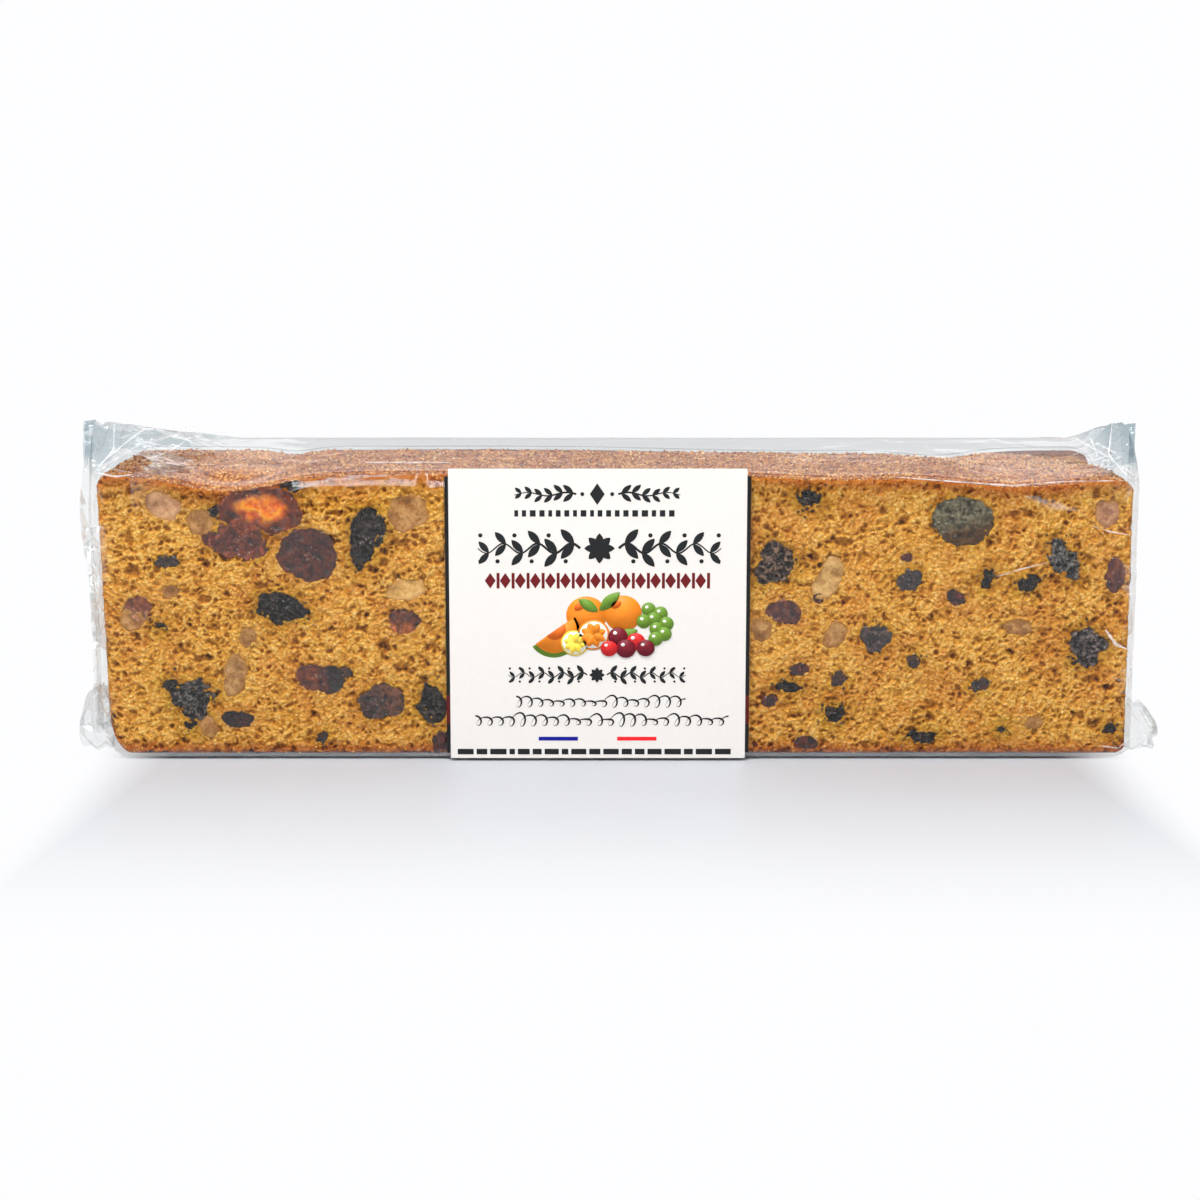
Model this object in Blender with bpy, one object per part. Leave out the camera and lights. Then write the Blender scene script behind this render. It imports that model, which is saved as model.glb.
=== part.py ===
"""A bar of fruit cake in a clear flow pack, with a square label on its front.

The bar lies on its long crusted bottom. X runs along the bar, Y from the front cut face to the back,
and Z up. The origin is on the floor, under the middle of the cake. Metres.
"""

import math
import random

import bmesh
import bpy
from mathutils import Vector

MM = 0.001

# The cake
CAKE_LENGTH = 208.8 * MM
CAKE_DEPTH = 49.0 * MM
CAKE_FOOT = 1.2 * MM  # height of the cake's bottom above the floor, with the film under it
CRUST_TOP = 58.3 * MM  # height of the crust where it is level
CRUST_CURL = 9.0 * MM  # how far in from a cut face the crust bends down towards it
# Long soft waves of the crust: height, then length along X and along Y, each over a radian
CRUST_WAVE = (0.35 * MM, 17 * MM, 13 * MM)
# Places where the crust bends down to a cut face: middle along X, half width, depth
FRONT_DIPS = ((-78 * MM, 13 * MM, 3.2 * MM), (45 * MM, 14 * MM, 0.9 * MM), (82 * MM, 17 * MM, 2.5 * MM))
BACK_DIPS = ((-70 * MM, 5 * MM, 0.9 * MM), (48 * MM, 38 * MM, 0.9 * MM), (71 * MM, 10 * MM, 1.4 * MM))
LEFT_LEAN = 1.4 * MM  # the left end stands in by this much at its bottom
# Rounding of the four long corners of the ends: run along X, fall along Z
LEFT_TOP_ROUND = (2.5 * MM, 2.0 * MM)
LEFT_FOOT_ROUND = (4.5 * MM, 9.0 * MM)
RIGHT_TOP_ROUND = (5.0 * MM, 2.6 * MM)
RIGHT_FOOT_ROUND = (2.0 * MM, 2.0 * MM)
CRUST_STEPS = 7  # spans of the crust from front to back
CAKE_SPANS = 26  # spans along the bar between its rounded ends
END_STATIONS = (0.0, 0.35 * MM, 1.1 * MM, 2.4 * MM, 4.5 * MM)  # distances in from each end
END_LENGTH = 8.0 * MM

# The film
GAP = 0.3 * MM  # between pieces that touch
FILM_FRONT = -25.0 * MM
FILM_BACK = 26.6 * MM
FILM_CREASE = 59.5 * MM  # height of the crease along the front top edge
FILM_RIDGE = 61.9 * MM  # highest line of the film over the middle of the bar
FILM_RIDGE_Y = 17.0 * MM
FILM_BACK_TOP = 58.5 * MM  # where the film turns down at the back
FILM_SPANS = 24  # spans along the pack between its ends
EAR_HEIGHT = 66.6 * MM  # tips of the two end seals
EAR_Y = 3.0 * MM
LEFT_EAR_START = -81.0 * MM  # where the top of the film starts to rise to the ear
RIGHT_EAR_START = 99.0 * MM
LEFT_SEAL = -111.4 * MM  # outer edges of the two end seals
RIGHT_SEAL = 109.6 * MM
SEAL_THICK = 1.2 * MM
SEAL_BULGE = 1.8 * MM  # the left seal bows out by this much
SEAL_BULGE_Z = 47.0 * MM
# How the pack closes on a seal: share of the way out, squeeze from 0, the full pack, to 1, the flat seal
SEAL_CLOSING = ((0.22, 0.24), (0.42, 0.55), (0.6, 0.86), (0.68, 1.0), (1.0, 1.0))
# Crumpled lower corners of the pack: centre and half sizes
CORNERS = (
    ((-106.4 * MM, -16.5 * MM, 6.0 * MM), (4.4 * MM, 7.5 * MM, 5.8 * MM)),
    ((107.6 * MM, -16.5 * MM, 5.6 * MM), (4.6 * MM, 7.5 * MM, 5.4 * MM)),
)

# The label and the dark band behind it
LABEL_MIDDLE = -3.45 * MM
LABEL_SIZE = (60.0 * MM, 59.4 * MM)
LABEL_FOOT = 0.6 * MM
BACKING_SIZE = (61.6 * MM, 56.8 * MM)
BACKING_FOOT = 1.6 * MM
PLATE_THICK = 0.35 * MM

# Fruit shapes
FRUIT_SIDES = 16
FRUIT_PROUD = 0.25 * MM  # how far the middle of a cut fruit stands out of the cut face
# Rings from the cut face inwards: share of the depth, share of the width
FRUIT_RINGS = ((0.0, 1.0), (0.5, 0.92), (0.88, 0.55))
# Outline of each kind: 1 is a diamond, 2 an ellipse, more is boxy. Then how uneven it is
FRUIT_OUTLINES = {
    "pale": (2.7, 0.07),
    "amber": (2.0, 0.08),
    "green": (2.2, 0.05),
    "brown": (1.9, 0.11),
    "red": (2.1, 0.08),
    "dark": (1.6, 0.14),
}
# Fruit bent round a hollow: the hollow's direction in degrees, anticlockwise from its own width
FRUIT_HOLLOWS = {"dark_fruit_5": 200, "pale_fruit_5": 185, "red_fruit_4": 95, "dark_fruit_7": 20}
HOLLOW_DEPTH = 0.38  # as a share of the radius
HOLLOW_WIDTH = 0.75  # in radians
POCKET_REACH = 2.0 * MM  # how far the cutter of a pocket stands out of the cut face

# The fruit in the front cut face. Node: kind, centre X and Z, width, height, tilt in degrees, all in mm
FRUIT = {
    "pale_fruit_1": ("pale", -91.0, 52.2, 7.8, 4.8, -25),
    "pale_fruit_2": ("pale", -83.6, 48.9, 5.0, 5.6, 10),
    "pale_fruit_3": ("pale", -42.4, 35.0, 8.4, 3.6, 10),
    "pale_fruit_4": ("pale", -77.4, 17.4, 4.0, 9.4, -8),
    "pale_fruit_5": ("pale", 43.0, 37.6, 5.4, 9.8, -28),
    "pale_fruit_6": ("pale", 99.2, 50.8, 4.9, 5.6, 0),
    "amber_fruit": ("amber", -71.3, 51.5, 11.6, 5.4, -4),
    "green_fruit": ("green", 70.2, 49.2, 13.2, 10.4, -6),
    "brown_fruit_1": ("brown", -75.9, 45.2, 8.6, 5.4, -14),
    "brown_fruit_2": ("brown", -47.3, 11.9, 10.6, 8.2, 5),
    "brown_fruit_3": ("brown", -90.5, 40.8, 5.6, 2.6, 0),
    "brown_fruit_4": ("brown", 59.6, 36.9, 6.0, 4.4, 15),
    "brown_fruit_5": ("brown", 53.1, 25.1, 7.2, 6.0, -10),
    "red_fruit_1": ("red", -62.0, 42.3, 13.4, 11.4, -15),
    "red_fruit_2": ("red", -96.6, 31.3, 6.2, 5.6, 0),
    "red_fruit_3": ("red", -42.8, 28.6, 6.6, 6.2, 5),
    "red_fruit_4": ("red", -59.8, 17.3, 11.0, 7.4, -8),
    "red_fruit_5": ("red", -77.0, 8.3, 7.4, 3.6, -6),
    "red_fruit_6": ("red", 34.5, 30.5, 8.0, 5.2, -10),
    "red_fruit_7": ("red", 101.3, 37.9, 4.2, 8.2, 0),
    "dark_fruit_1": ("dark", -50.3, 46.1, 7.8, 15.4, -12),
    "dark_fruit_2": ("dark", -67.7, 31.3, 13.0, 6.8, -12),
    "dark_fruit_3": ("dark", -86.1, 12.9, 10.0, 9.6, 0),
    "dark_fruit_4": ("dark", -37.4, 11.3, 6.2, 9.6, 4),
    "dark_fruit_5": ("dark", 31.9, 40.6, 10.0, 10.8, -35),
    "dark_fruit_6": ("dark", 39.2, 53.6, 6.0, 4.4, -10),
    "dark_fruit_7": ("dark", 90.7, 41.8, 7.4, 11.4, 32),
    "dark_fruit_8": ("dark", 96.2, 23.4, 8.2, 9.8, 0),
    "dark_fruit_9": ("dark", 44.8, 9.8, 5.4, 3.8, 8),
}

# Base colour, roughness, metallic and how much light passes, for each material
MATERIALS = {
    "cake_crumb": ((0.58, 0.33, 0.11), 0.85, 0.0, 0.0),
    "clear_film": ((0.90, 0.93, 0.94), 0.08, 0.0, 0.9),
    "label_paper": ((0.95, 0.94, 0.92), 0.5, 0.0, 0.0),
    "backing_paper": ((0.02, 0.02, 0.02), 0.4, 0.0, 0.0),
    "pale_fruit": ((0.48, 0.30, 0.15), 0.3, 0.0, 0.0),
    "amber_fruit": ((0.70, 0.16, 0.01), 0.15, 0.0, 0.0),
    "green_fruit": ((0.15, 0.14, 0.07), 0.35, 0.0, 0.0),
    "brown_fruit": ((0.09, 0.035, 0.03), 0.3, 0.0, 0.0),
    "red_fruit": ((0.13, 0.02, 0.015), 0.25, 0.0, 0.0),
    "dark_fruit": ((0.025, 0.02, 0.025), 0.4, 0.0, 0.0),
}


def clear_scene():
    for obj in list(bpy.data.objects):
        bpy.data.objects.remove(obj, do_unlink=True)


def material(name):
    """A Principled material from the table above."""
    colour, roughness, metallic, transmission = MATERIALS[name]
    made = bpy.data.materials.new(name)
    made.use_nodes = True
    shader = made.node_tree.nodes["Principled BSDF"]
    shader.inputs["Base Color"].default_value = (*colour, 1.0)
    shader.inputs["Roughness"].default_value = roughness
    shader.inputs["Metallic"].default_value = metallic
    shader.inputs["Transmission Weight"].default_value = transmission
    return made


def link(name, mesh, material_name=None):
    obj = bpy.data.objects.new(name, mesh)
    bpy.context.scene.collection.objects.link(obj)
    if material_name:
        mesh.materials.append(bpy.data.materials.get(material_name) or material(material_name))
    return obj


def middle_of(loop):
    return sum((Vector(point) for point in loop), Vector()) / len(loop)


def loft(name, loops, material_name=None, tips=None):
    """A closed body through loops of equally many points. Each end closes on a tip, or on its middle."""
    shape = bmesh.new()
    rings = [[shape.verts.new(point) for point in loop] for loop in loops]
    count = len(loops[0])
    for ring, following in zip(rings, rings[1:]):
        for i in range(count):
            j = (i + 1) % count
            shape.faces.new((ring[i], ring[j], following[j], following[i]))
    tips = tips or (middle_of(loops[0]), middle_of(loops[-1]))
    for ring, tip in ((rings[0], tips[0]), (rings[-1], tips[1])):
        point = shape.verts.new(tip)
        for i in range(count):
            shape.faces.new((ring[i], ring[(i + 1) % count], point))
    return closed_object(name, shape, material_name)


def closed_object(name, shape, material_name=None):
    """The bmesh as an object, with its faces triangulated and turned outwards."""
    bmesh.ops.triangulate(shape, faces=shape.faces[:])
    bmesh.ops.recalc_face_normals(shape, faces=shape.faces[:])
    mesh = bpy.data.meshes.new(name)
    shape.to_mesh(mesh)
    shape.free()
    mesh.shade_smooth()
    mesh.set_sharp_from_angle(angle=math.radians(35))
    return link(name, mesh, material_name)


def hide_helper(obj):
    obj.hide_render = True
    obj.display_type = "WIRE"
    return obj


def boolean(obj, operation, other):
    change = obj.modifiers.new(f"{operation.lower()} {other.name}", "BOOLEAN")
    change.operation = operation
    change.solver = "EXACT"
    change.object = hide_helper(other)


def bell(value, middle, width):
    return math.exp(-(((value - middle) / width) ** 2))


def ramp(value, start, end):
    """0 at start, 1 at end, and level beyond both."""
    return min(max((value - start) / (end - start), 0.0), 1.0)


def rounding(from_end, run, fall):
    """How much a corner with an elliptical rounding has fallen, this far in from the end."""
    inside = min(max(from_end / run, 0.0), 1.0)
    return fall * (1.0 - math.sqrt(1.0 - (1.0 - inside) ** 2))


# ---------------------------------------------------------------- the cake


def crust_height(x, y):
    """Height of the top crust: level, with long soft waves and dips at the two cut faces."""
    half = CAKE_DEPTH / 2
    swell, along, across = CRUST_WAVE
    height = CRUST_TOP + swell * math.sin(x / along) * math.cos(y / across)
    for dips, cut in ((FRONT_DIPS, -half), (BACK_DIPS, half)):
        for middle, width, depth in dips:
            height -= depth * bell(x, middle, width) * bell(y, cut, CRUST_CURL)
    return height


def cake_section(x, grow, front):
    """The closed outline of the cake across the bar at x, made larger all round by grow."""
    left, right = x + CAKE_LENGTH / 2, CAKE_LENGTH / 2 - x
    top_fall = rounding(left, *LEFT_TOP_ROUND) + rounding(right, *RIGHT_TOP_ROUND)
    foot_rise = rounding(left, *LEFT_FOOT_ROUND) + rounding(right, *RIGHT_FOOT_ROUND)
    back = CAKE_DEPTH / 2
    outline = [(front, CAKE_FOOT + foot_rise - grow)]
    for i in range(CRUST_STEPS + 1):
        y = -back + 2 * back * i / CRUST_STEPS
        edge = {0: front, CRUST_STEPS: back + grow}.get(i, y)
        outline.append((edge, crust_height(x, y) - top_fall + grow))
    outline.append((back + grow, CAKE_FOOT + foot_rise - grow))
    return outline


def cake_stations():
    """Places along the bar: close together at the rounded ends, even between them."""
    half = CAKE_LENGTH / 2
    inner = half - END_LENGTH
    middle = [-inner + 2 * inner * i / CAKE_SPANS for i in range(CAKE_SPANS + 1)]
    return [-half + d for d in END_STATIONS] + middle + [half - d for d in reversed(END_STATIONS)]


def lean(x, z):
    """The left end stands in towards its bottom; the shift fades out along the bar."""
    share = ramp(x, -CAKE_LENGTH / 2 + 3 * END_LENGTH, -CAKE_LENGTH / 2)
    return x + LEFT_LEAN * share * (1.0 - z / CRUST_TOP)


def cake_loops(grow=0.0, front=-CAKE_DEPTH / 2):
    half = CAKE_LENGTH / 2
    loops = []
    for x in cake_stations():
        along = x * (half + grow) / half
        loops.append([(lean(along, z), y, z) for y, z in cake_section(x, grow, front)])
    return loops


# ---------------------------------------------------------------- the fruit


def fruit_radii(name):
    """The outline of one fruit as shares of its half size, one for each side."""
    squareness, unevenness = FRUIT_OUTLINES[FRUIT[name][0]]
    uneven = random.Random(name)
    three, five = (uneven.uniform(0, 2 * math.pi) for _ in range(2))
    radii = []
    for i in range(FRUIT_SIDES):
        angle = 2 * math.pi * i / FRUIT_SIDES
        corner = abs(math.cos(angle)) ** squareness + abs(math.sin(angle)) ** squareness
        radius = corner ** (-1 / squareness)
        radius += unevenness * (0.55 * math.cos(3 * angle + three) + 0.45 * math.cos(5 * angle + five))
        radius += uneven.uniform(-0.35, 0.35) * unevenness
        if name in FRUIT_HOLLOWS:
            away = math.remainder(angle - math.radians(FRUIT_HOLLOWS[name]), 2 * math.pi)
            radius *= 1.0 - HOLLOW_DEPTH * bell(away, 0.0, HOLLOW_WIDTH)
        radii.append(radius)
    largest = max(radii)
    return [radius / largest for radius in radii]


def fruit_depth(name):
    width, height = FRUIT[name][3:5]
    return 0.5 * min(width, height) * MM + 1.2 * MM


def fruit_ring(name, y, size, grow):
    """One outline of a fruit at y, at this share of its size and made larger all round by grow."""
    _, x, z, width, height, tilt = FRUIT[name]
    turn = math.radians(tilt)
    ring = []
    for i, radius in enumerate(fruit_radii(name)):
        angle = 2 * math.pi * i / FRUIT_SIDES
        across = (width / 2 * MM * size * radius + grow) * math.cos(angle)
        up = (height / 2 * MM * size * radius + grow) * math.sin(angle)
        along_x = x * MM + across * math.cos(turn) - up * math.sin(turn)
        along_z = z * MM + across * math.sin(turn) + up * math.cos(turn)
        ring.append((along_x, y, along_z))
    return ring


def fruit_loops(name, grow=0.0):
    """Rings of one cut fruit from the cut face inwards, made larger all round by grow."""
    cut = -CAKE_DEPTH / 2
    depth = fruit_depth(name)
    return [fruit_ring(name, cut + share * depth, size, grow) for share, size in FRUIT_RINGS]


def make_fruit(name):
    kind, x, z, *_ = FRUIT[name]
    front = (x * MM, -CAKE_DEPTH / 2 - FRUIT_PROUD, z * MM)
    back = (x * MM, -CAKE_DEPTH / 2 + fruit_depth(name), z * MM)
    return loft(name, fruit_loops(name), f"{kind}_fruit", (front, back))


def make_fruit_pocket(name):
    """The hollow that one fruit leaves in the cake: the fruit made larger by the gap."""
    _, x, z, *_ = FRUIT[name]
    outside = -CAKE_DEPTH / 2 - POCKET_REACH
    loops = [fruit_ring(name, outside, 1.0, GAP)] + fruit_loops(name, GAP)
    front = (x * MM, outside - POCKET_REACH / 2, z * MM)
    back = (x * MM, -CAKE_DEPTH / 2 + fruit_depth(name) + GAP, z * MM)
    return loft(f"pocket_{name}", loops, tips=(front, back))


def make_cake():
    cake = loft("cake", cake_loops(), "cake_crumb")
    pockets = bpy.data.collections.new("fruit pockets")
    for name in FRUIT:
        pockets.objects.link(hide_helper(make_fruit_pocket(name)))
    cut = cake.modifiers.new("fruit pockets", "BOOLEAN")
    cut.operation = "DIFFERENCE"
    cut.solver = "EXACT"
    cut.operand_type = "COLLECTION"
    cut.collection = pockets
    return cake


# ---------------------------------------------------------------- the film


def ear_share(x):
    """0 over the middle of the bar, rising to 1 at the tips of the end seals."""
    if x < 0:
        return ramp(x, LEFT_EAR_START, -CAKE_LENGTH / 2 - 2 * MM)
    return ramp(x, RIGHT_EAR_START, CAKE_LENGTH / 2 + 2 * MM)


def film_section(x, squeeze):
    """The outline of the pack across the bar at x."""
    ear = ear_share(x)
    front = FILM_FRONT * (1 - squeeze) - SEAL_THICK / 2 * squeeze
    back = FILM_BACK * (1 - squeeze) + SEAL_THICK / 2 * squeeze
    ridge_y = FILM_RIDGE_Y + (EAR_Y - FILM_RIDGE_Y) * ear
    ridge_y = ridge_y * (1 - squeeze) + (front + back) / 2 * squeeze
    ridge = FILM_RIDGE + (EAR_HEIGHT - FILM_RIDGE) * ear
    crease = FILM_CREASE + (EAR_HEIGHT - 1.5 * MM - FILM_CREASE) * squeeze
    back_top = FILM_BACK_TOP + (EAR_HEIGHT - FILM_RIDGE) * squeeze
    round_off = 1.0 * MM * (1 - squeeze) + 0.2 * MM
    foot = 0.4 * MM * squeeze
    return [
        (front, foot + round_off),
        (front, 20 * MM),
        (front, 40 * MM),
        (front, crease - round_off),
        (front + round_off, crease),
        ((2 * front + ridge_y) / 3, crease + (ridge - crease) * (0.22 + 0.1 * ear)),
        ((front + 2 * ridge_y) / 3, crease + (ridge - crease) * (0.62 - 0.05 * ear)),
        (ridge_y, ridge),
        ((ridge_y + 2 * back) / 3, ridge - (ridge - back_top) * 0.35),
        (back - round_off, back_top),
        (back, back_top - 2.5 * round_off),
        (back, 30 * MM),
        (back, foot + 2 * round_off),
        (back - 1.6 * round_off, foot),
        (front + round_off, foot),
    ]


def film_stations():
    """Places along the pack with their squeeze: even over the cake, then closing on each end seal."""
    half = CAKE_LENGTH / 2 + 1.2 * MM
    places = {-half + i * 2 * half / FILM_SPANS for i in range(FILM_SPANS + 1)}
    places |= {LEFT_EAR_START, RIGHT_EAR_START}
    body = [(x, 0.0) for x in sorted(places)]
    left = [(-half + share * (LEFT_SEAL + half), squeeze) for share, squeeze in SEAL_CLOSING]
    right = [(half + share * (RIGHT_SEAL - half), squeeze) for share, squeeze in SEAL_CLOSING]
    return left[::-1] + body + right


def seal_bulge(x, z):
    """The left seal bows outwards a little above its middle."""
    share = ramp(x, -CAKE_LENGTH / 2, LEFT_SEAL)
    return x - SEAL_BULGE * share * bell(z, SEAL_BULGE_Z, 11 * MM)


def make_crumpled_corner(name, centre, half_size):
    """A crumpled lump of film at a lower corner: a faceted ball pushed in and out, flat on the floor."""
    uneven = random.Random(name)
    shape = bmesh.new()
    bmesh.ops.create_icosphere(shape, subdivisions=2, radius=1.0)
    for vert in shape.verts:
        push = 1.0 + uneven.uniform(-0.24, 0.12)
        place = [c + h * push * part for c, h, part in zip(centre, half_size, vert.co)]
        place[2] = max(place[2], 0.5 * MM)
        vert.co = place
    return closed_object(name, shape)


def make_film():
    loops = []
    for x, squeeze in film_stations():
        loops.append([(seal_bulge(x, z), y, z) for y, z in film_section(x, squeeze)])
    film = loft("film_wrap", loops, "clear_film")
    for number, (centre, half_size) in enumerate(CORNERS, 1):
        boolean(film, "UNION", make_crumpled_corner(f"corner_{number}", centre, half_size))
    boolean(film, "DIFFERENCE", loft("cake_space", cake_loops(GAP, FILM_FRONT - 4 * MM)))
    return film


# ---------------------------------------------------------------- the label


def make_plate(name, size, foot, front, material_name):
    """A thin upright plate with its front face at y = front."""
    left, right = LABEL_MIDDLE - size[0] / 2, LABEL_MIDDLE + size[0] / 2
    top = foot + size[1]
    corners = ((left, foot), (right, foot), (right, top), (left, top))
    loops = [[(x, y, z) for x, z in corners] for y in (front, front + PLATE_THICK)]
    return loft(name, loops, material_name)


def make_label():
    backing_front = -CAKE_DEPTH / 2 - FRUIT_PROUD - GAP - PLATE_THICK
    label_front = backing_front - GAP - PLATE_THICK
    make_plate("label_backing", BACKING_SIZE, BACKING_FOOT, backing_front, "backing_paper")
    make_plate("label", LABEL_SIZE, LABEL_FOOT, label_front, "label_paper")


clear_scene()
make_cake()
for fruit_name in FRUIT:
    make_fruit(fruit_name)
make_film()
make_label()
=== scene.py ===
"""The looks of a fruit cake bar in its clear film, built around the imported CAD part.

X runs along the bar, Y from the front cut face to the back, and Z up. Lengths in this script are in
millimetres; make_piece turns them into metres.
"""

import math

import bpy
import numpy as np
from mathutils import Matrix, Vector


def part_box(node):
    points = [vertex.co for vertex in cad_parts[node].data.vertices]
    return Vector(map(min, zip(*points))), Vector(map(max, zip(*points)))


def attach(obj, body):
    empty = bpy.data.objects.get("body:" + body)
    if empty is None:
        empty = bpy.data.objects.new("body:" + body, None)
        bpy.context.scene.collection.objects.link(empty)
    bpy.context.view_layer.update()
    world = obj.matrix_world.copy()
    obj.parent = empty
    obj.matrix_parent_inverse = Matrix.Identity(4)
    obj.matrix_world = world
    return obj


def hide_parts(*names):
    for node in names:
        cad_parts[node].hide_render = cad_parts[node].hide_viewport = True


MM = 0.001

# The cake, as in the CAD
CAKE_HALF = 104.4  # half of its length
CUT = 24.5  # distance of both cut faces from the middle
CAKE_FOOT = 1.2
CRUST_TOP = 58.3
CRUST_CURL = 9.0
CRUST_WAVE = (0.35, 17.0, 13.0)
FRONT_DIPS = ((-78.0, 13.0, 3.2), (45.0, 14.0, 0.9), (82.0, 17.0, 2.5))
BACK_DIPS = ((-70.0, 5.0, 0.9), (48.0, 38.0, 0.9), (71.0, 10.0, 1.4))
LEFT_LEAN = 1.4
LEAN_RUN = 24.0
LEFT_TOP_ROUND = (2.5, 2.0)
LEFT_FOOT_ROUND = (4.5, 9.0)
RIGHT_TOP_ROUND = (5.0, 2.6)
RIGHT_FOOT_ROUND = (2.0, 2.0)

# How fine the meshes are
CUT_STEP = 0.215
BACK_STEP = 0.55
HIDDEN_STEP = 1.2  # behind the label
CRUST_STEP = 0.48
END_STEP = 0.6
FOOT_STEP = 1.6

# The cut faces
LABEL_LEFT, LABEL_RIGHT = -34.4, 27.5  # the label hides the cut face between these
CUT_ROUND = 0.8  # how far a cut face bends in at its border
CRUST_BACK = 0.5  # the crust starts this far behind the cut face
CRUST_SWELL = 0.45  # uneven height of the top crust
CORNER_FALL = 2.6  # how far the crust falls at its back right corner
BASIN_DEPTH = 1.2  # how deep the crumb gives way to a fruit

GRAIN_COUNT = 4000
CRUST_GRAIN_COUNT = 6500
SPECK_COUNT = 420
# white specks that stand in for glints: painted highlights
GLINT_COUNT = 620
OUTLINE_POINTS = 96  # angles at which a fruit's outline is known
FRUIT_STEP = 0.3  # spacing of the points of a fruit
FRUIT_REACH = 1.3  # how far a fruit's mesh runs on under the crumb


# ---------------------------------------------------------------- noise


def hashed(i, j, seed):
    """A number from 0 to 1 for each pair of whole numbers."""
    mask = np.uint64(0xFFFFFFFF)
    mixed = i.astype(np.int64).astype(np.uint64) * np.uint64(374761393)
    mixed = mixed + j.astype(np.int64).astype(np.uint64) * np.uint64(668265263)
    mixed = (mixed + np.uint64(seed * 2654435761 % 4294967296)) & mask
    mixed = ((mixed ^ (mixed >> np.uint64(13))) * np.uint64(1274126177)) & mask
    mixed = ((mixed ^ (mixed >> np.uint64(16))) * np.uint64(2246822519)) & mask
    return ((mixed ^ (mixed >> np.uint64(15))) & mask).astype(float) / 4294967295.0


def noise(x, y, size, seed):
    """Smooth noise from -1 to 1 with features of this size."""
    u, v = x / size, y / size
    i, j = np.floor(u), np.floor(v)
    u, v = u - i, v - j
    u, v = u * u * (3 - 2 * u), v * v * (3 - 2 * v)
    near = hashed(i, j, seed) * (1 - u) + hashed(i + 1, j, seed) * u
    far = hashed(i, j + 1, seed) * (1 - u) + hashed(i + 1, j + 1, seed) * u
    return 2 * (near * (1 - v) + far * v) - 1


def rough_noise(x, y, size, seed, layers=3):
    """Noise with finer and finer layers on it."""
    total, weight, strength = 0.0, 0.0, 1.0
    for layer in range(layers):
        total = total + strength * noise(x, y, size / 2.0**layer, seed + 31 * layer)
        weight += strength
        strength *= 0.55
    return total / weight


def cells(x, y, size, seed):
    """Distance to the nearest and the next of scattered centres, in shares of size, and the cell's number."""
    u, v = x / size, y / size
    i, j = np.floor(u), np.floor(v)
    first = np.full(u.shape, 9.0)
    second = np.full(u.shape, 9.0)
    number = np.zeros(u.shape)
    for di in (-1, 0, 1):
        for dj in (-1, 0, 1):
            ci, cj = i + di, j + dj
            du = ci + hashed(ci, cj, seed) - u
            dv = cj + hashed(ci, cj, seed + 1) - v
            away = np.hypot(du, dv)
            nearer = away < first
            second = np.where(nearer, first, np.minimum(second, away))
            number = np.where(nearer, hashed(ci, cj, seed + 2), number)
            first = np.where(nearer, away, first)
    return first, second, number


def foam(x, y, size, seed, share):
    """Open bubbles with thin walls: 1 in the middle of a bubble and 0 on its walls. Only a share are open."""
    first, second, number = cells(x, y, size, seed)
    return smooth(second - first, 0.06, 0.6) * smooth(number, share, share - 0.35)


def smooth(value, start, end):
    """0 at start, 1 at end, with a soft turn at both."""
    share = np.clip((value - start) / (end - start), 0.0, 1.0)
    return share * share * (3 - 2 * share)


def bell(value, middle, width):
    return np.exp(-(((value - middle) / width) ** 2))


def mix(a, b, share):
    return a + (b - a) * share


# ---------------------------------------------------------------- meshes


def grid_faces(rows, columns, wrap=False, flip=False):
    """Quads over a grid of points, row by row. wrap joins the last column to the first."""
    row = np.arange(rows - 1)[:, None] * columns
    column = np.arange(columns if wrap else columns - 1)[None, :]
    beside = (column + 1) % columns
    corners = [row + column, row + beside, row + columns + beside, row + columns + column]
    if flip:
        corners.reverse()
    return np.stack(corners, -1).reshape(-1, 4)


def grid_part(points, wrap=False, flip=False, **masks):
    """A part for make_piece from points laid out in rows and columns, with masks of the same layout."""
    rows, columns = points.shape[:2]
    flat = {name: np.broadcast_to(mask, (rows, columns)).reshape(-1) for name, mask in masks.items()}
    return points.reshape(-1, 3), grid_faces(rows, columns, wrap, flip).tolist(), flat


def make_piece(name, parts, material, replaced=(), sharp=None):
    """One object from several parts, in millimetres. It rides on the part's one body."""
    points, faces, count = [], [], 0
    mask_names = sorted({mask for part in parts for mask in part[2]})
    masks = {mask: [] for mask in mask_names}
    for part_points, part_faces, part_masks in parts:
        points.append(part_points)
        faces.extend([[corner + count for corner in face] for face in part_faces] if count else part_faces)
        for mask in mask_names:
            masks[mask].append(part_masks.get(mask, np.zeros(len(part_points))))
        count += len(part_points)
    mesh = bpy.data.meshes.new(name)
    mesh.from_pydata(np.concatenate(points) * MM, [], faces)
    for mask in mask_names:
        layer = mesh.attributes.new(mask, "FLOAT", "POINT")
        layer.data.foreach_set("value", np.concatenate(masks[mask]).astype(np.float32))
    mesh.shade_smooth()
    if sharp:
        mesh.set_sharp_from_angle(angle=math.radians(sharp))
    mesh.materials.append(material)
    piece = bpy.data.objects.new(name, mesh)
    bpy.context.scene.collection.objects.link(piece)
    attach(piece, "root")
    if replaced:
        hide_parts(*replaced)
    return piece


# ---------------------------------------------------------------- materials


def linear(red, green, blue):
    """A colour as a screen shows it, 0 to 255, as the light that Blender counts in."""
    parts = [part / 255 for part in (red, green, blue)]
    return tuple(part / 12.92 if part <= 0.04045 else ((part + 0.055) / 1.055) ** 2.4 for part in parts)


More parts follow.
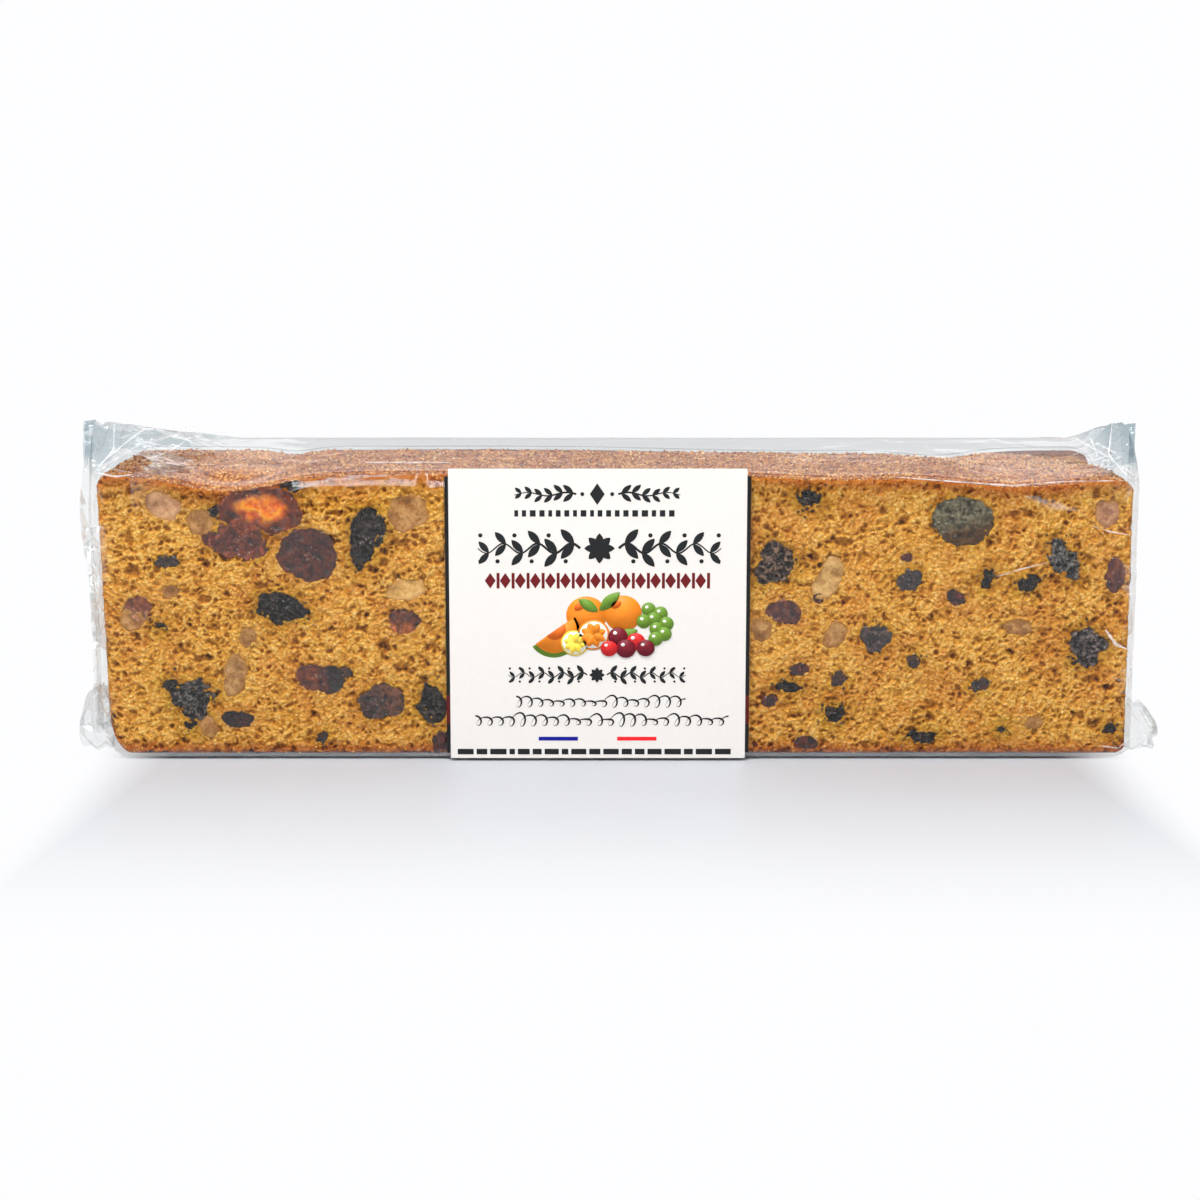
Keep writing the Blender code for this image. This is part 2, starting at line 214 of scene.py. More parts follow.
class Look:
    """Builds one material's nodes. Sizes are in millimetres."""

    def __init__(self, name, roughness=0.5, **settings):
        self.material = bpy.data.materials.new(name)
        self.material.use_nodes = True
        self.tree = self.material.node_tree
        self.shader = self.tree.nodes["Principled BSDF"]
        self.shader.inputs["Roughness"].default_value = roughness
        for socket, value in settings.items():
            self.shader.inputs[socket.replace("_", " ")].default_value = value
        self.place = self.node("ShaderNodeTexCoord").outputs["Object"]

    def node(self, kind, inputs=None, **settings):
        made = self.tree.nodes.new(kind)
        for key, value in settings.items():
            setattr(made, key, value)
        for key, value in (inputs or {}).items():
            self.put(made.inputs[key], value)
        return made

    def put(self, socket, value):
        if isinstance(value, bpy.types.NodeSocket):
            self.tree.links.new(value, socket)
        elif isinstance(value, tuple) and len(value) == 3 and socket.type == "RGBA":
            socket.default_value = (*value, 1.0)
        else:
            socket.default_value = value

    def mask(self, name):
        return self.node("ShaderNodeAttribute", attribute_name=name).outputs["Fac"]

    def noise(self, size, detail=3.0, roughness=0.55, distortion=0.0, stretch=None):
        place = self.place
        if stretch:
            place = self.node("ShaderNodeMapping", {"Vector": place, "Scale": Vector(stretch)}).outputs["Vector"]
        inputs = {"Vector": place, "Scale": 1 / (size * MM), "Detail": detail, "Roughness": roughness}
        return self.node("ShaderNodeTexNoise", {**inputs, "Distortion": distortion}).outputs["Fac"]

    def cells(self, size, feature="F1", output="Distance"):
        inputs = {"Vector": self.place, "Scale": 1 / (size * MM)}
        return self.node("ShaderNodeTexVoronoi", inputs, feature=feature).outputs[output]

    def math(self, operation, a, b=0.0, clamp=False):
        made = self.node("ShaderNodeMath", operation=operation, use_clamp=clamp)
        self.put(made.inputs[0], a)
        self.put(made.inputs[1], b)
        return made.outputs[0]

    def span(self, value, low, high, to_low=0.0, to_high=1.0):
        """The value from low to high, as a smooth share from to_low to to_high."""
        inputs = {"Value": value, "From Min": low, "From Max": high, "To Min": to_low, "To Max": to_high}
        return self.node("ShaderNodeMapRange", inputs, interpolation_type="SMOOTHSTEP").outputs["Result"]

    def blend(self, share, a, b, way="MIX"):
        made = self.node("ShaderNodeMix", data_type="RGBA", blend_type=way)
        self.put(made.inputs[0], share)
        self.put(made.inputs[6], a)
        self.put(made.inputs[7], b)
        return made.outputs[2]

    def ramp(self, value, *stops):
        """A colour ramp through (place, colour) stops."""
        made = self.node("ShaderNodeValToRGB", {"Fac": value})
        elements = made.color_ramp.elements
        while len(elements) < len(stops):
            elements.new(0.5)
        for element, (place, colour) in zip(elements, stops):
            element.position = place
            element.color = (*colour, 1.0)
        return made.outputs["Color"]

    def bump(self, height, distance, strength=1.0):
        """Relief of this many millimetres from a height of 0 to 1."""
        inputs = {"Height": height, "Distance": distance * MM, "Strength": strength}
        bumped = self.node("ShaderNodeBump", inputs)
        before = self.shader.inputs["Normal"].links
        if before:
            self.put(bumped.inputs["Normal"], before[0].from_socket)
        self.put(self.shader.inputs["Normal"], bumped.outputs["Normal"])

    def colour(self, value):
        self.put(self.shader.inputs["Base Color"], value)

    def rough(self, value):
        self.put(self.shader.inputs["Roughness"], value)


def crumb_material(name="cake_crumb_look"):
    """Open golden crumb. Its colour pales on the grain tops and darkens in the pores, following the relief: painted
    light and painted shade over a partly random tone. Baked edges, and stains round the fruit.
    """
    look = Look(name, 0.62, Subsurface_Weight=0.05, Subsurface_Scale=0.4 * MM, Specular_IOR_Level=0.12)
    look.shader.inputs["Subsurface Radius"].default_value = (1.0, 0.7, 0.3)
    grain = look.span(look.cells(0.62), 0.75, 0.05)
    fine = look.noise(0.28, 3.0, 0.65)
    # The grain that bumps the crumb also pales its colour on the bumps' tops: painted light.
    mottle = look.math("ADD", look.math("MULTIPLY", grain, 0.14), look.math("MULTIPLY", fine, 0.30))
    # The height mask is the crumb's level, low in pores and high on grains: painted shade and painted light.
    level = look.math("ADD", look.mask("height"), look.math("SUBTRACT", mottle, 0.22))
    colour = look.ramp(
        level,
        (0.0, linear(94, 50, 6)),
        (0.22, linear(136, 80, 14)),
        (0.42, linear(172, 110, 26)),
        (0.6, linear(201, 137, 40)),
        (0.8, linear(226, 164, 66)),
        (1.0, linear(250, 208, 122)),
    )
    patch = look.span(look.noise(7.0, 3.0, 0.6, 0.6), 0.42, 0.66)
    colour = look.blend(patch, colour, look.blend(1.0, colour, linear(244, 226, 214), "MULTIPLY"))
    warm = look.span(look.noise(3.1, 2.0, 0.5), 0.55, 0.75, 0.0, 0.5)
    colour = look.blend(warm, colour, look.blend(1.0, colour, linear(255, 236, 150), "MULTIPLY"))
    baked = look.mask("baked")
    colour = look.blend(baked, colour, look.blend(1.0, colour, linear(206, 166, 140), "MULTIPLY"))
    foot = look.mask("foot")
    colour = look.blend(foot, colour, look.blend(1.0, colour, linear(206, 158, 130), "MULTIPLY"))
    ring = look.span(look.mask("stain_dark"), 0.03, 0.2, 0.0, 0.8)
    colour = look.blend(ring, colour, look.blend(1.0, colour, linear(246, 238, 150), "MULTIPLY"))
    colour = look.blend(look.mask("stain_dark"), colour, linear(92, 66, 24))
    colour = look.blend(look.mask("stain_red"), colour, linear(128, 60, 20))
    colour = look.blend(look.mask("stain_pale"), colour, linear(196, 146, 60))
    look.colour(colour)
    look.rough(look.span(fine, 0.3, 0.75, 0.5, 0.72))
    look.bump(grain, 0.16)
    look.bump(fine, 0.12)
    return look.material


def crust_material():
    """The browned outside: fine orange-brown grain with darker spots. Its colour pales on the grain tops and darkens
    in the pits, following the relief: painted light and painted shade.
    """
    look = Look("cake_crust_look", 0.5, Specular_IOR_Level=0.25)
    look.place = look.node("ShaderNodeMapping", {"Vector": look.place, "Scale": Vector((1, 0.45, 1))}).outputs[0]
    grain = look.span(look.cells(0.62), 0.75, 0.05)
    fine = look.noise(0.3, 3.0, 0.65)
    mottle = look.math("ADD", look.math("MULTIPLY", grain, 0.6), look.math("MULTIPLY", fine, 0.8))
    # The level pales the grain tops and darkens the pits: painted light and painted shade.
    level = look.math("ADD", look.mask("height"), look.math("SUBTRACT", mottle, 0.75))
    colour = look.ramp(
        level,
        (0.0, linear(118, 56, 14)),
        (0.3, linear(172, 96, 34)),
        (0.55, linear(212, 138, 60)),
        (0.8, linear(236, 178, 98)),
        (1.0, linear(255, 232, 180)),
    )
    patch = look.span(look.noise(9.0, 4.0, 0.6, 0.8), 0.4, 0.68)
    colour = look.blend(patch, colour, look.blend(1.0, colour, linear(232, 206, 190), "MULTIPLY"))
    spots = look.span(look.noise(1.7, 2.0, 0.5), 0.66, 0.74)
    colour = look.blend(look.math("MULTIPLY", spots, 0.5), colour, linear(92, 46, 20))
    colour = look.blend(look.mask("foot"), colour, linear(156, 100, 60))
    golden = look.ramp(level, (0.2, linear(188, 116, 32)), (0.6, linear(232, 168, 70)), (1.0, linear(250, 214, 136)))
    colour = look.blend(look.mask("side"), colour, golden)
    look.colour(colour)
    look.rough(look.span(grain, 0.3, 0.7, 0.38, 0.62))
    look.bump(grain, 0.22)
    look.bump(fine, 0.18)
    return look.material


# How strongly the fine grain of each kind of fruit mottles its colour
FRUIT_MOTTLE = {"pale": 1.0, "amber": 1.1, "green": 1.3, "brown": 0.8, "red": 0.7, "dark": 1.4}

# What each kind of fruit looks like: dark, main and pale colour, roughness, share of light that
# passes under the skin, wrinkle size and height, fine relief size and height. The dark colour fills
# the wrinkles' hollows and the pale one their ridges, with a random mottle: painted shade and painted light.
FRUIT_LOOKS = {
    "pale": ((122, 76, 34), (160, 108, 54), (196, 146, 86), 0.30, 0.15, (3.2, 0.10, 1.1, 0.05)),
    "amber": ((156, 50, 6), (226, 92, 10), (252, 158, 34), 0.14, 0.3, (2.2, 0.42, 0.9, 0.10)),
    "green": ((26, 22, 12), (78, 72, 46), (124, 116, 84), 0.42, 0.1, (1.6, 0.30, 0.55, 0.16)),
    "brown": ((22, 8, 4), (50, 20, 10), (84, 40, 20), 0.26, 0.1, (1.8, 0.32, 0.6, 0.12)),
    "red": ((24, 4, 2), (56, 12, 6), (98, 30, 12), 0.20, 0.12, (2.0, 0.34, 0.8, 0.12)),
    "dark": ((3, 3, 3), (17, 13, 13), (66, 54, 48), 0.34, 0.0, (1.3, 0.40, 0.45, 0.22)),
}


# The film's haze lightens what lies under it, so the fruit itself is darker than it shows
FILM_GAIN = {"pale": 1.06, "amber": 0.98, "green": 0.75, "brown": 0.72, "red": 0.72, "dark": 0.68}


def fruit_material(name, kind, main=None, second=None):
    """A piece of candied fruit: its own colour, turning to a second one across it."""
    dark, usual, pale, roughness, depth, size = FRUIT_LOOKS[kind]
    gain = FILM_GAIN[kind]
    main = tuple(gain * part for part in main) if main else usual
    shift = [m / u for m, u in zip(main, usual)]
    dark = tuple(min(part * share, 255) for part, share in zip(dark, shift))
    pale = tuple(min(part * (0.5 + 0.5 * share), 255) for part, share in zip(pale, shift))
    wet = 0.1 if kind in ("dark", "green", "pale") else 0.5
    look = Look(name, roughness, Subsurface_Weight=depth, Subsurface_Scale=0.7 * MM, Coat_Weight=wet)
    look.shader.inputs["Specular IOR Level"].default_value = 0.3 + 0.4 * wet
    look.shader.inputs["Coat Roughness"].default_value = 0.15
    look.shader.inputs["Subsurface Radius"].default_value = (1.0, 0.4, 0.2)
    fine = look.noise(0.6, 4.0, 0.6)
    level = look.math("ADD", look.mask("height"), look.math("MULTIPLY", look.math("SUBTRACT", fine, 0.5), FRUIT_MOTTLE[kind]))
    # The top of the ramp is a painted highlight on the highest ridges, brighter on dark fruit; its dark end is
    # painted shade in the hollows.
    highlight_gain = 1.3 if kind == "dark" else 1.0
    painted_highlight = linear(*[min(highlight_gain * part + 6, 255) for part in pale])
    colour = look.ramp(level, (0.1, linear(*dark)), (0.5, linear(*main)), (0.85, linear(*pale)), (1.0, painted_highlight))
    if second:
        second = [0.8 * part for part in second]
        tones = [linear(*[min(share * part, 255) for part in second]) for share in (0.4, 1.0, 1.5)]
        turned = look.ramp(level, *zip((0.1, 0.55, 1.0), tones))
        colour = look.blend(look.mask("turn"), colour, turned)
    if kind == "pale":
        colour = look.blend(look.math("MULTIPLY", look.mask("rim"), fine), colour, linear(176, 120, 48))
    look.colour(colour)
    look.rough(look.span(fine, 0.3, 0.7, roughness * 0.7, roughness * 1.5))
    look.bump(look.noise(0.8, 3.0, 0.6), size[3] * 2.5)
    look.bump(look.noise(0.3, 2.0, 0.6), size[3] * 0.8)
    return look.material


# ---------------------------------------------------------------- the cake's own shape


def rounding(from_end, run, fall):
    """How much a corner with an elliptical rounding has fallen, this far in from the end."""
    inside = np.clip(from_end / run, 0.0, 1.0)
    return fall * (1.0 - np.sqrt(1.0 - (1.0 - inside) ** 2))


def crust_height(x, y):
    """Height of the top crust, with its long soft waves and its dips at the cut faces."""
    swell, along, across = CRUST_WAVE
    height = CRUST_TOP + swell * np.sin(x / along) * np.cos(y / across)
    for dips, cut in ((FRONT_DIPS, -CUT), (BACK_DIPS, CUT)):
        for middle, width, depth in dips:
            height = height - depth * bell(x, middle, width) * bell(y, cut, CRUST_CURL)
    return height


def cake_top(x, y):
    left, right = x + CAKE_HALF, CAKE_HALF - x
    return crust_height(x, y) - rounding(left, *LEFT_TOP_ROUND) - rounding(right, *RIGHT_TOP_ROUND)


def cake_bottom(x):
    left, right = x + CAKE_HALF, CAKE_HALF - x
    return CAKE_FOOT + rounding(left, *LEFT_FOOT_ROUND) + rounding(right, *RIGHT_FOOT_ROUND)


def lean(x, z):
    """The left end stands in towards its bottom."""
    share = np.clip((-CAKE_HALF + LEAN_RUN - x) / LEAN_RUN, 0.0, 1.0)
    return x + LEFT_LEAN * share * (1.0 - z / CRUST_TOP)


# ---------------------------------------------------------------- the fruit's outlines

OUTLINE_ANGLES = np.linspace(0, 2 * math.pi, OUTLINE_POINTS, endpoint=False)


def outline(centre, radii, kind, name):
    return {"x": centre[0], "z": centre[1], "radii": radii, "kind": kind, "name": name}


def cad_outline(node):
    """A fruit's outline in the front cut face, read from its CAD node and smoothed."""
    points = np.array([vert.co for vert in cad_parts[node].data.vertices]) / MM
    ring = points[np.abs(points[:, 1] + CUT) < 0.05][:, (0, 2)]
    centre = (ring.min(0) + ring.max(0)) / 2
    away = ring - centre
    angles = np.arctan2(away[:, 1], away[:, 0])
    order = np.argsort(angles)
    radii = np.interp(OUTLINE_ANGLES, angles[order], np.hypot(*away.T)[order], period=2 * math.pi)
    for _ in range(3):
        radii = (np.roll(radii, 1) + 2 * radii + np.roll(radii, -1)) / 4
    return outline(centre, radii, node.split("_")[0], node)


def made_outline(name, kind, x, z, width, height, tilt, draw):
    """An uneven outline of this size."""
    angles = OUTLINE_ANGLES - math.radians(tilt)
    power = {"pale": 2.6, "amber": 2.0, "green": 2.2, "brown": 1.9, "red": 2.1, "dark": 1.8}[kind]
    corner = np.abs(np.cos(angles) * 2 / width) ** power + np.abs(np.sin(angles) * 2 / height) ** power
    radii = corner ** (-1 / power)
    for waves, share in ((2, 0.06), (3, 0.09), (5, 0.06), (8, 0.04)):
        radii = radii * (1 + share * draw.uniform(0.3, 1.0) * np.cos(waves * angles + draw.uniform(0, 6.28)))
    return outline((x, z), radii, kind, name)


def outside(shape, x, z):
    """How far places lie outside a fruit's ragged outline; less than 0 inside it."""
    dx, dz = x - shape["x"], z - shape["z"]
    edge = np.interp(np.arctan2(dz, dx), OUTLINE_ANGLES, shape["radii"], period=2 * math.pi)
    ragged, islands = RAGGED[shape["kind"]]
    uneven = ragged * rough_noise(x, z, 2.2, 61) + 0.5 * ragged * noise(x, z, 0.7, 67)
    specks = islands * np.maximum(rough_noise(x, z, 1.1, 71, 2) - 0.25, 0.0)
    return np.hypot(dx, dz) - edge - GROWTH.get(shape["kind"], 0.0) + uneven + specks


# ---------------------------------------------------------------- the cut faces

# How far some kinds spread past their outline, how ragged the outline of each kind is, and how far
# crumb sticks to it near its rim
GROWTH = {"pale": 0.35}
RAGGED = {"pale": (0.35, 0.5), "amber": (0.4, 0.5), "green": (0.4, 3.0), "brown": (0.45, 1.5), "red": (0.35, 0.8),
          "dark": (0.6, 4.0)}
STAINS = {"pale": ("stain_pale", 1.2, 0.35), "amber": ("stain_red", 1.6, 0.6), "green": ("stain_dark", 1.1, 0.3),
          "brown": ("stain_dark", 1.0, 0.35), "red": ("stain_red", 0.8, 0.35), "dark": ("stain_dark", 1.5, 0.55)}


def holes(x, y, size, seed, low, high):
    """Uneven holes where rough noise rises from low to high: 0 in the solid crumb, 1 in a hole."""
    return smooth(rough_noise(x, y, size, seed), low, high)


def crumb_relief(x, z, seed):
    """How far the crumb stands out of its face, in millimetres, and its colour level from 0, in a pore, to 1. The
    level follows the relief, painting shade into the pores and light onto the grain tops, with a random tone for each
    grain.
    """
    wx = x + 0.35 * noise(x, z, 1.6, seed + 1)
    wz = z + 0.35 * noise(x, z, 1.6, seed + 2)
    near, _, number = cells(x, z, 0.75, seed + 3)
    grains = 0.55 - near**1.5 + 0.4 * (number - 0.5)
    patch = 0.14 * noise(x, z, 8.0, seed + 8)
    large = holes(wx, 1.2 * wz, 3.6, seed + 10, 0.46 + patch, 0.58 + patch)
    medium = foam(wx, wz, 2.1, seed + 20, 0.28 - patch)
    small = foam(wx, wz, 1.2, seed + 30, 0.50 - patch)
    tiny = holes(wx, wz, 0.9, seed + 40, 0.15, 0.5)
    relief = 0.34 * grains - 0.8 * large - 0.7 * medium - 0.55 * small - 0.2 * tiny
    level = 0.775 + 0.30 * grains - 0.32 * large - 0.40 * medium - 0.38 * small - 0.20 * tiny
    return relief, np.clip(level, 0.0, 1.0)


def cut_face(side, shapes, x_low, x_high, step, seed):
    """A grid part of one cut face. side is -1 in front and 1 at the back."""
    columns = max(int(round((x_high - x_low) / step)) + 1, 2)
    rows = int(round((CRUST_TOP - CAKE_FOOT) / step)) + 1
    x = np.broadcast_to(np.linspace(x_low, x_high, columns)[None, :], (rows, columns))
    share = np.linspace(0, 1, rows)[:, None]
    low, high = cake_bottom(x), cake_top(x, side * CUT + 0 * x)
    z = low + (high - low) * share
    top, foot = high - z, z - low
    left, right = x + CAKE_HALF, CAKE_HALF - x
    x = lean(x, z)
    relief, level = crumb_relief(x, z, seed)
    inward = -relief
    stains = {"stain_dark": np.zeros(x.shape), "stain_red": np.zeros(x.shape), "stain_pale": np.zeros(x.shape)}
    patchy = 0.5 + 0.5 * rough_noise(x, z, 1.6, seed + 50)
    basin = np.zeros(x.shape)
    for shape in shapes:
        away = outside(shape, x, z)
        basin = np.maximum(basin, smooth(away, 0.0, -0.5))
        stain, reach, strength = STAINS[shape["kind"]]
        here = strength * np.exp(-np.maximum(away, 0) / reach) * (0.35 + patchy)
        stains[stain] = np.maximum(stains[stain], np.where(away < 4 * reach, here, 0.0))
    inward = inward + BASIN_DEPTH * basin
    edge = np.minimum(np.minimum(top, foot), np.minimum(left, right))
    inward = inward + rounding(edge, CUT_ROUND, CUT_ROUND)
    uneven = 0.7 * rough_noise(x, z, 2.4, seed + 70)
    baked = np.maximum(smooth(top + 1.3 * uneven, 3.4, 0.2), 0.3 * smooth(np.minimum(left, right) + uneven, 2.0, 0.2))
    points = np.stack([x, side * (CUT - inward), z], -1)
    # height carries the colour level: painted shade in the pores and painted light on the grains.
    masks = {"height": level, "baked": baked, "foot": smooth(foot + uneven, 3.6, 0.6)}
    return grid_part(points, flip=side > 0, **masks, **{key: np.clip(m, 0, 1) for key, m in stains.items()})


def crust_relief(x, y, seed):
    wx = x + 0.35 * noise(x, y, 1.0, seed + 1)
    grains = 1.0 - cells(wx, y, 0.8, seed + 2)[0]
    flakes = rough_noise(wx, y, 2.6, seed + 3, 4)
    pits = foam(wx, y, 2.1, seed + 4, 0.35)
    relief = 0.25 * flakes + 0.30 * (grains - 0.6) - 0.4 * pits
    # The colour level follows the relief: painted light on grains and flakes, painted shade in the pits.
    return relief, np.clip(0.6 + 0.35 * flakes + 0.45 * (grains - 0.6) - 0.5 * pits, 0, 1)


def crust_top_part(seed=400):
    """The top crust, from one cut face to the other, turned down at all its edges."""
    columns = int(round(2 * CAKE_HALF / CRUST_STEP)) + 1
    rows = int(round(2 * CUT / CRUST_STEP)) + 1
    x = np.broadcast_to(np.linspace(-CAKE_HALF, CAKE_HALF, columns)[None, :], (rows, columns))
    half = CUT - CRUST_BACK
    y = np.broadcast_to(np.linspace(-half, half, rows)[:, None], (rows, columns))
    relief, level = crust_relief(x, y, seed)
    edge = half - np.abs(y)
    uneven = CRUST_SWELL * rough_noise(x, y, 15.0, seed + 9) * smooth(edge, 0.0, 6.0)
    corner = CORNER_FALL * smooth(x, CAKE_HALF - 24, CAKE_HALF - 1) * smooth(y, -14.0, CUT)
    z = cake_top(x, y) + relief + uneven - corner - rounding(edge, 0.9, 1.0)
    points = np.stack([lean(x, z), y, z], -1)
    return grid_part(points, height=level)


def crust_end_part(side, seed=500):
    """One end of the cake, from its foot to the top crust."""
    columns = int(round(2 * CUT / END_STEP)) + 1
    rows = int(round((CRUST_TOP - CAKE_FOOT) / END_STEP)) + 1
    half = CUT - CRUST_BACK
    y = np.broadcast_to(np.linspace(-half, half, columns)[None, :], (rows, columns))
    share = np.linspace(0, 1, rows)[:, None]
    x = side * CAKE_HALF + 0 * y
    corner = CORNER_FALL * smooth(y, -14.0, CUT) if side > 0 else 0.0
    low, high = cake_bottom(x), cake_top(x, y) - corner
    z = low + (high - low) * share
    relief, level = crust_relief(y, z, seed + side)
    edge = half - np.abs(y)
    x = x + side * (relief - rounding(edge, 0.9, 0.9))
    points = np.stack([lean(x, z), y, z], -1)
    return grid_part(points, flip=side < 0, height=level, side=1.0 + 0 * level)


def crust_foot_part(seed=600):
    columns = int(round(2 * CAKE_HALF / FOOT_STEP)) + 1
    rows = int(round(2 * CUT / FOOT_STEP)) + 1
    x = np.broadcast_to(np.linspace(-CAKE_HALF, CAKE_HALF, columns)[None, :], (rows, columns))
    half = CUT - CRUST_BACK
    y = np.broadcast_to(np.linspace(-half, half, rows)[:, None], (rows, columns))
    relief, level = crust_relief(x, y, seed)
    z = cake_bottom(x) - 0.5 * relief
    points = np.stack([lean(x, z), y, z], -1)
    return grid_part(points, flip=True, height=level, foot=0.6 + 0 * level)


def make_cake(front_shapes, back_shapes):
    crumb = crumb_material()
    left = cut_face(-1, front_shapes, -CAKE_HALF, LABEL_LEFT, CUT_STEP, 100)
    right = cut_face(-1, front_shapes, LABEL_RIGHT, CAKE_HALF, CUT_STEP, 100)
    hidden = cut_face(-1, front_shapes, LABEL_LEFT, LABEL_RIGHT, HIDDEN_STEP, 100)
    make_piece("crumb_front_left", [left, hidden], crumb, ("cake",))
    make_piece("crumb_front_right", [right], crumb)
    back = cut_face(1, back_shapes, -CAKE_HALF, CAKE_HALF, BACK_STEP, 200)
    make_piece("crumb_back", [back], crumb)
    crust = [crust_top_part(), crust_end_part(-1), crust_end_part(1), crust_foot_part()]
    make_piece("crust", crust, crust_material())
    return [left, right], [crust[0]]


# ---------------------------------------------------------------- the fruit


def with_surround(shape, wide):
    """A fruit's outline with a wet surround of this width, which is drawn in its second colour."""
    uneven = 1.0 + 0.3 * np.cos(2 * OUTLINE_ANGLES) + 0.2 * np.cos(3 * OUTLINE_ANGLES + 2.4)
    widths = wide * (uneven + 0.15 * np.cos(7 * OUTLINE_ANGLES + 2.0))
    return {**shape, "radii": shape["radii"] + widths, "surround": widths}


def fruit_part(shape, side, seed):
    """A grid part of one cut fruit: wrinkled in front, and sunk in the crumb all round."""
    size, tall, fine_size, fine_tall = FRUIT_LOOKS[shape["kind"]][5]
    mean = float(shape["radii"].mean())
    count = int(np.clip(2 * math.pi * mean / FRUIT_STEP, 26, 130))
    rings = int(np.clip((mean + FRUIT_REACH) / FRUIT_STEP, 8, 30))
    angles = np.linspace(0, 2 * math.pi, count, endpoint=False)[None, :]
    edge = np.interp(angles, OUTLINE_ANGLES, shape["radii"], period=2 * math.pi)
    radius = np.linspace(0, 1, rings)[:, None] * (edge + FRUIT_REACH)
    x = shape["x"] + radius * np.cos(angles)
    z = shape["z"] + radius * np.sin(angles)
    crust = cake_top(x, side * CUT + 0 * x)
    z = np.where(z > crust, crust + 0.15 * (z - crust), z)
    away = outside(shape, x, z)
    tall = tall * min(1.0, mean / 3.0)
    wrinkle = 1.0 - 2.0 * np.abs(rough_noise(x, z, size, seed, 2))
    fine = rough_noise(x, z, fine_size, seed + 5, 2)
    relief = tall * (wrinkle - 0.75) * smooth(away, 0.3, -0.9) + fine_tall * fine
    sunk = 1.3 * smooth(away, -0.05, 0.8) + 0.05
    y = side * (CUT + np.minimum(relief - sunk, 0.3))
    # The colour level rises on the wrinkles' ridges and falls in their hollows: painted light and painted shade.
    level = np.clip(0.5 + 0.4 * (wrinkle - 0.4) + 0.3 * fine, 0, 1)
    direction = math.radians(shape.get("toward", 0.0))
    across = ((x - shape["x"]) * math.cos(direction) + (z - shape["z"]) * math.sin(direction)) / mean
    turn = smooth(across + 0.3 * fine, -0.1, 0.6)
    if "surround" in shape:
        wide = np.interp(angles, OUTLINE_ANGLES, shape["surround"], period=2 * math.pi)
        turn = smooth(away + 1.1 * rough_noise(x, z, 3.0, seed + 9) + wide, -1.2, 1.0)
    points = np.stack([x, y, z], -1)
    return grid_part(points, wrap=True, flip=side < 0, height=level, rim=smooth(away, -1.0, 0.0), turn=turn)


# Colours that differ from the kind's usual one: main colour, second colour and the side it is on
FRUIT_COLOURS = {
    "amber_fruit": ((244, 110, 8), (122, 46, 14), 0),
    "green_fruit": ((112, 104, 78), (92, 58, 26), 285),
    "red_fruit_1": ((84, 30, 20), None, 0),
    "red_fruit_2": ((150, 62, 26), (176, 120, 80), 250),
    "red_fruit_3": ((96, 38, 24), (190, 96, 30), 270),
    "red_fruit_4": ((132, 52, 24), (44, 28, 30), 10),
    "red_fruit_5": ((52, 18, 16), (24, 16, 16), 90),
    "red_fruit_6": ((108, 44, 36), None, 0),
    "red_fruit_7": ((116, 46, 38), None, 0),
    "brown_fruit_1": ((116, 38, 16), (134, 58, 26), 160),
    "brown_fruit_2": ((78, 44, 38), (110, 60, 36), 20),
    "brown_fruit_3": ((40, 24, 20), None, 0),
    "brown_fruit_4": ((62, 48, 52), None, 0),
    "brown_fruit_5": ((78, 62, 62), None, 0),
    "dark_fruit_3": ((52, 46, 48), None, 0),
    "dark_fruit_5": ((76, 54, 46), None, 0),
    "dark_fruit_7": ((64, 60, 64), None, 0),
    "dark_fruit_8": ((62, 52, 56), None, 0),
    "pale_fruit_1": ((188, 138, 98), None, 0),
    "pale_fruit_3": ((200, 154, 84), None, 0),
    "pale_fruit_4": ((158, 112, 62), None, 0),
    "pale_fruit_5": ((190, 146, 84), None, 0),
    "pale_fruit_6": ((160, 108, 78), None, 0),
}


# Fruit with a wet surround in its second colour, and how wide that is
SURROUNDS = {"amber_fruit": 2.6, "brown_fruit_1": 1.7}


def make_fruit(shapes):
    parts = []
    for number, shape in enumerate(shapes):
        main, second, toward = FRUIT_COLOURS.get(shape["name"], (None, None, 0))
        shape["toward"] = toward
        material = fruit_material(f"{shape['name']}_look", shape["kind"], main, second)
        part = fruit_part(shape, -1, 1000 + 40 * number)
        parts.append(part)
        make_piece(f"{shape['name']}_cut", [part], material, (shape["name"],))
    return parts


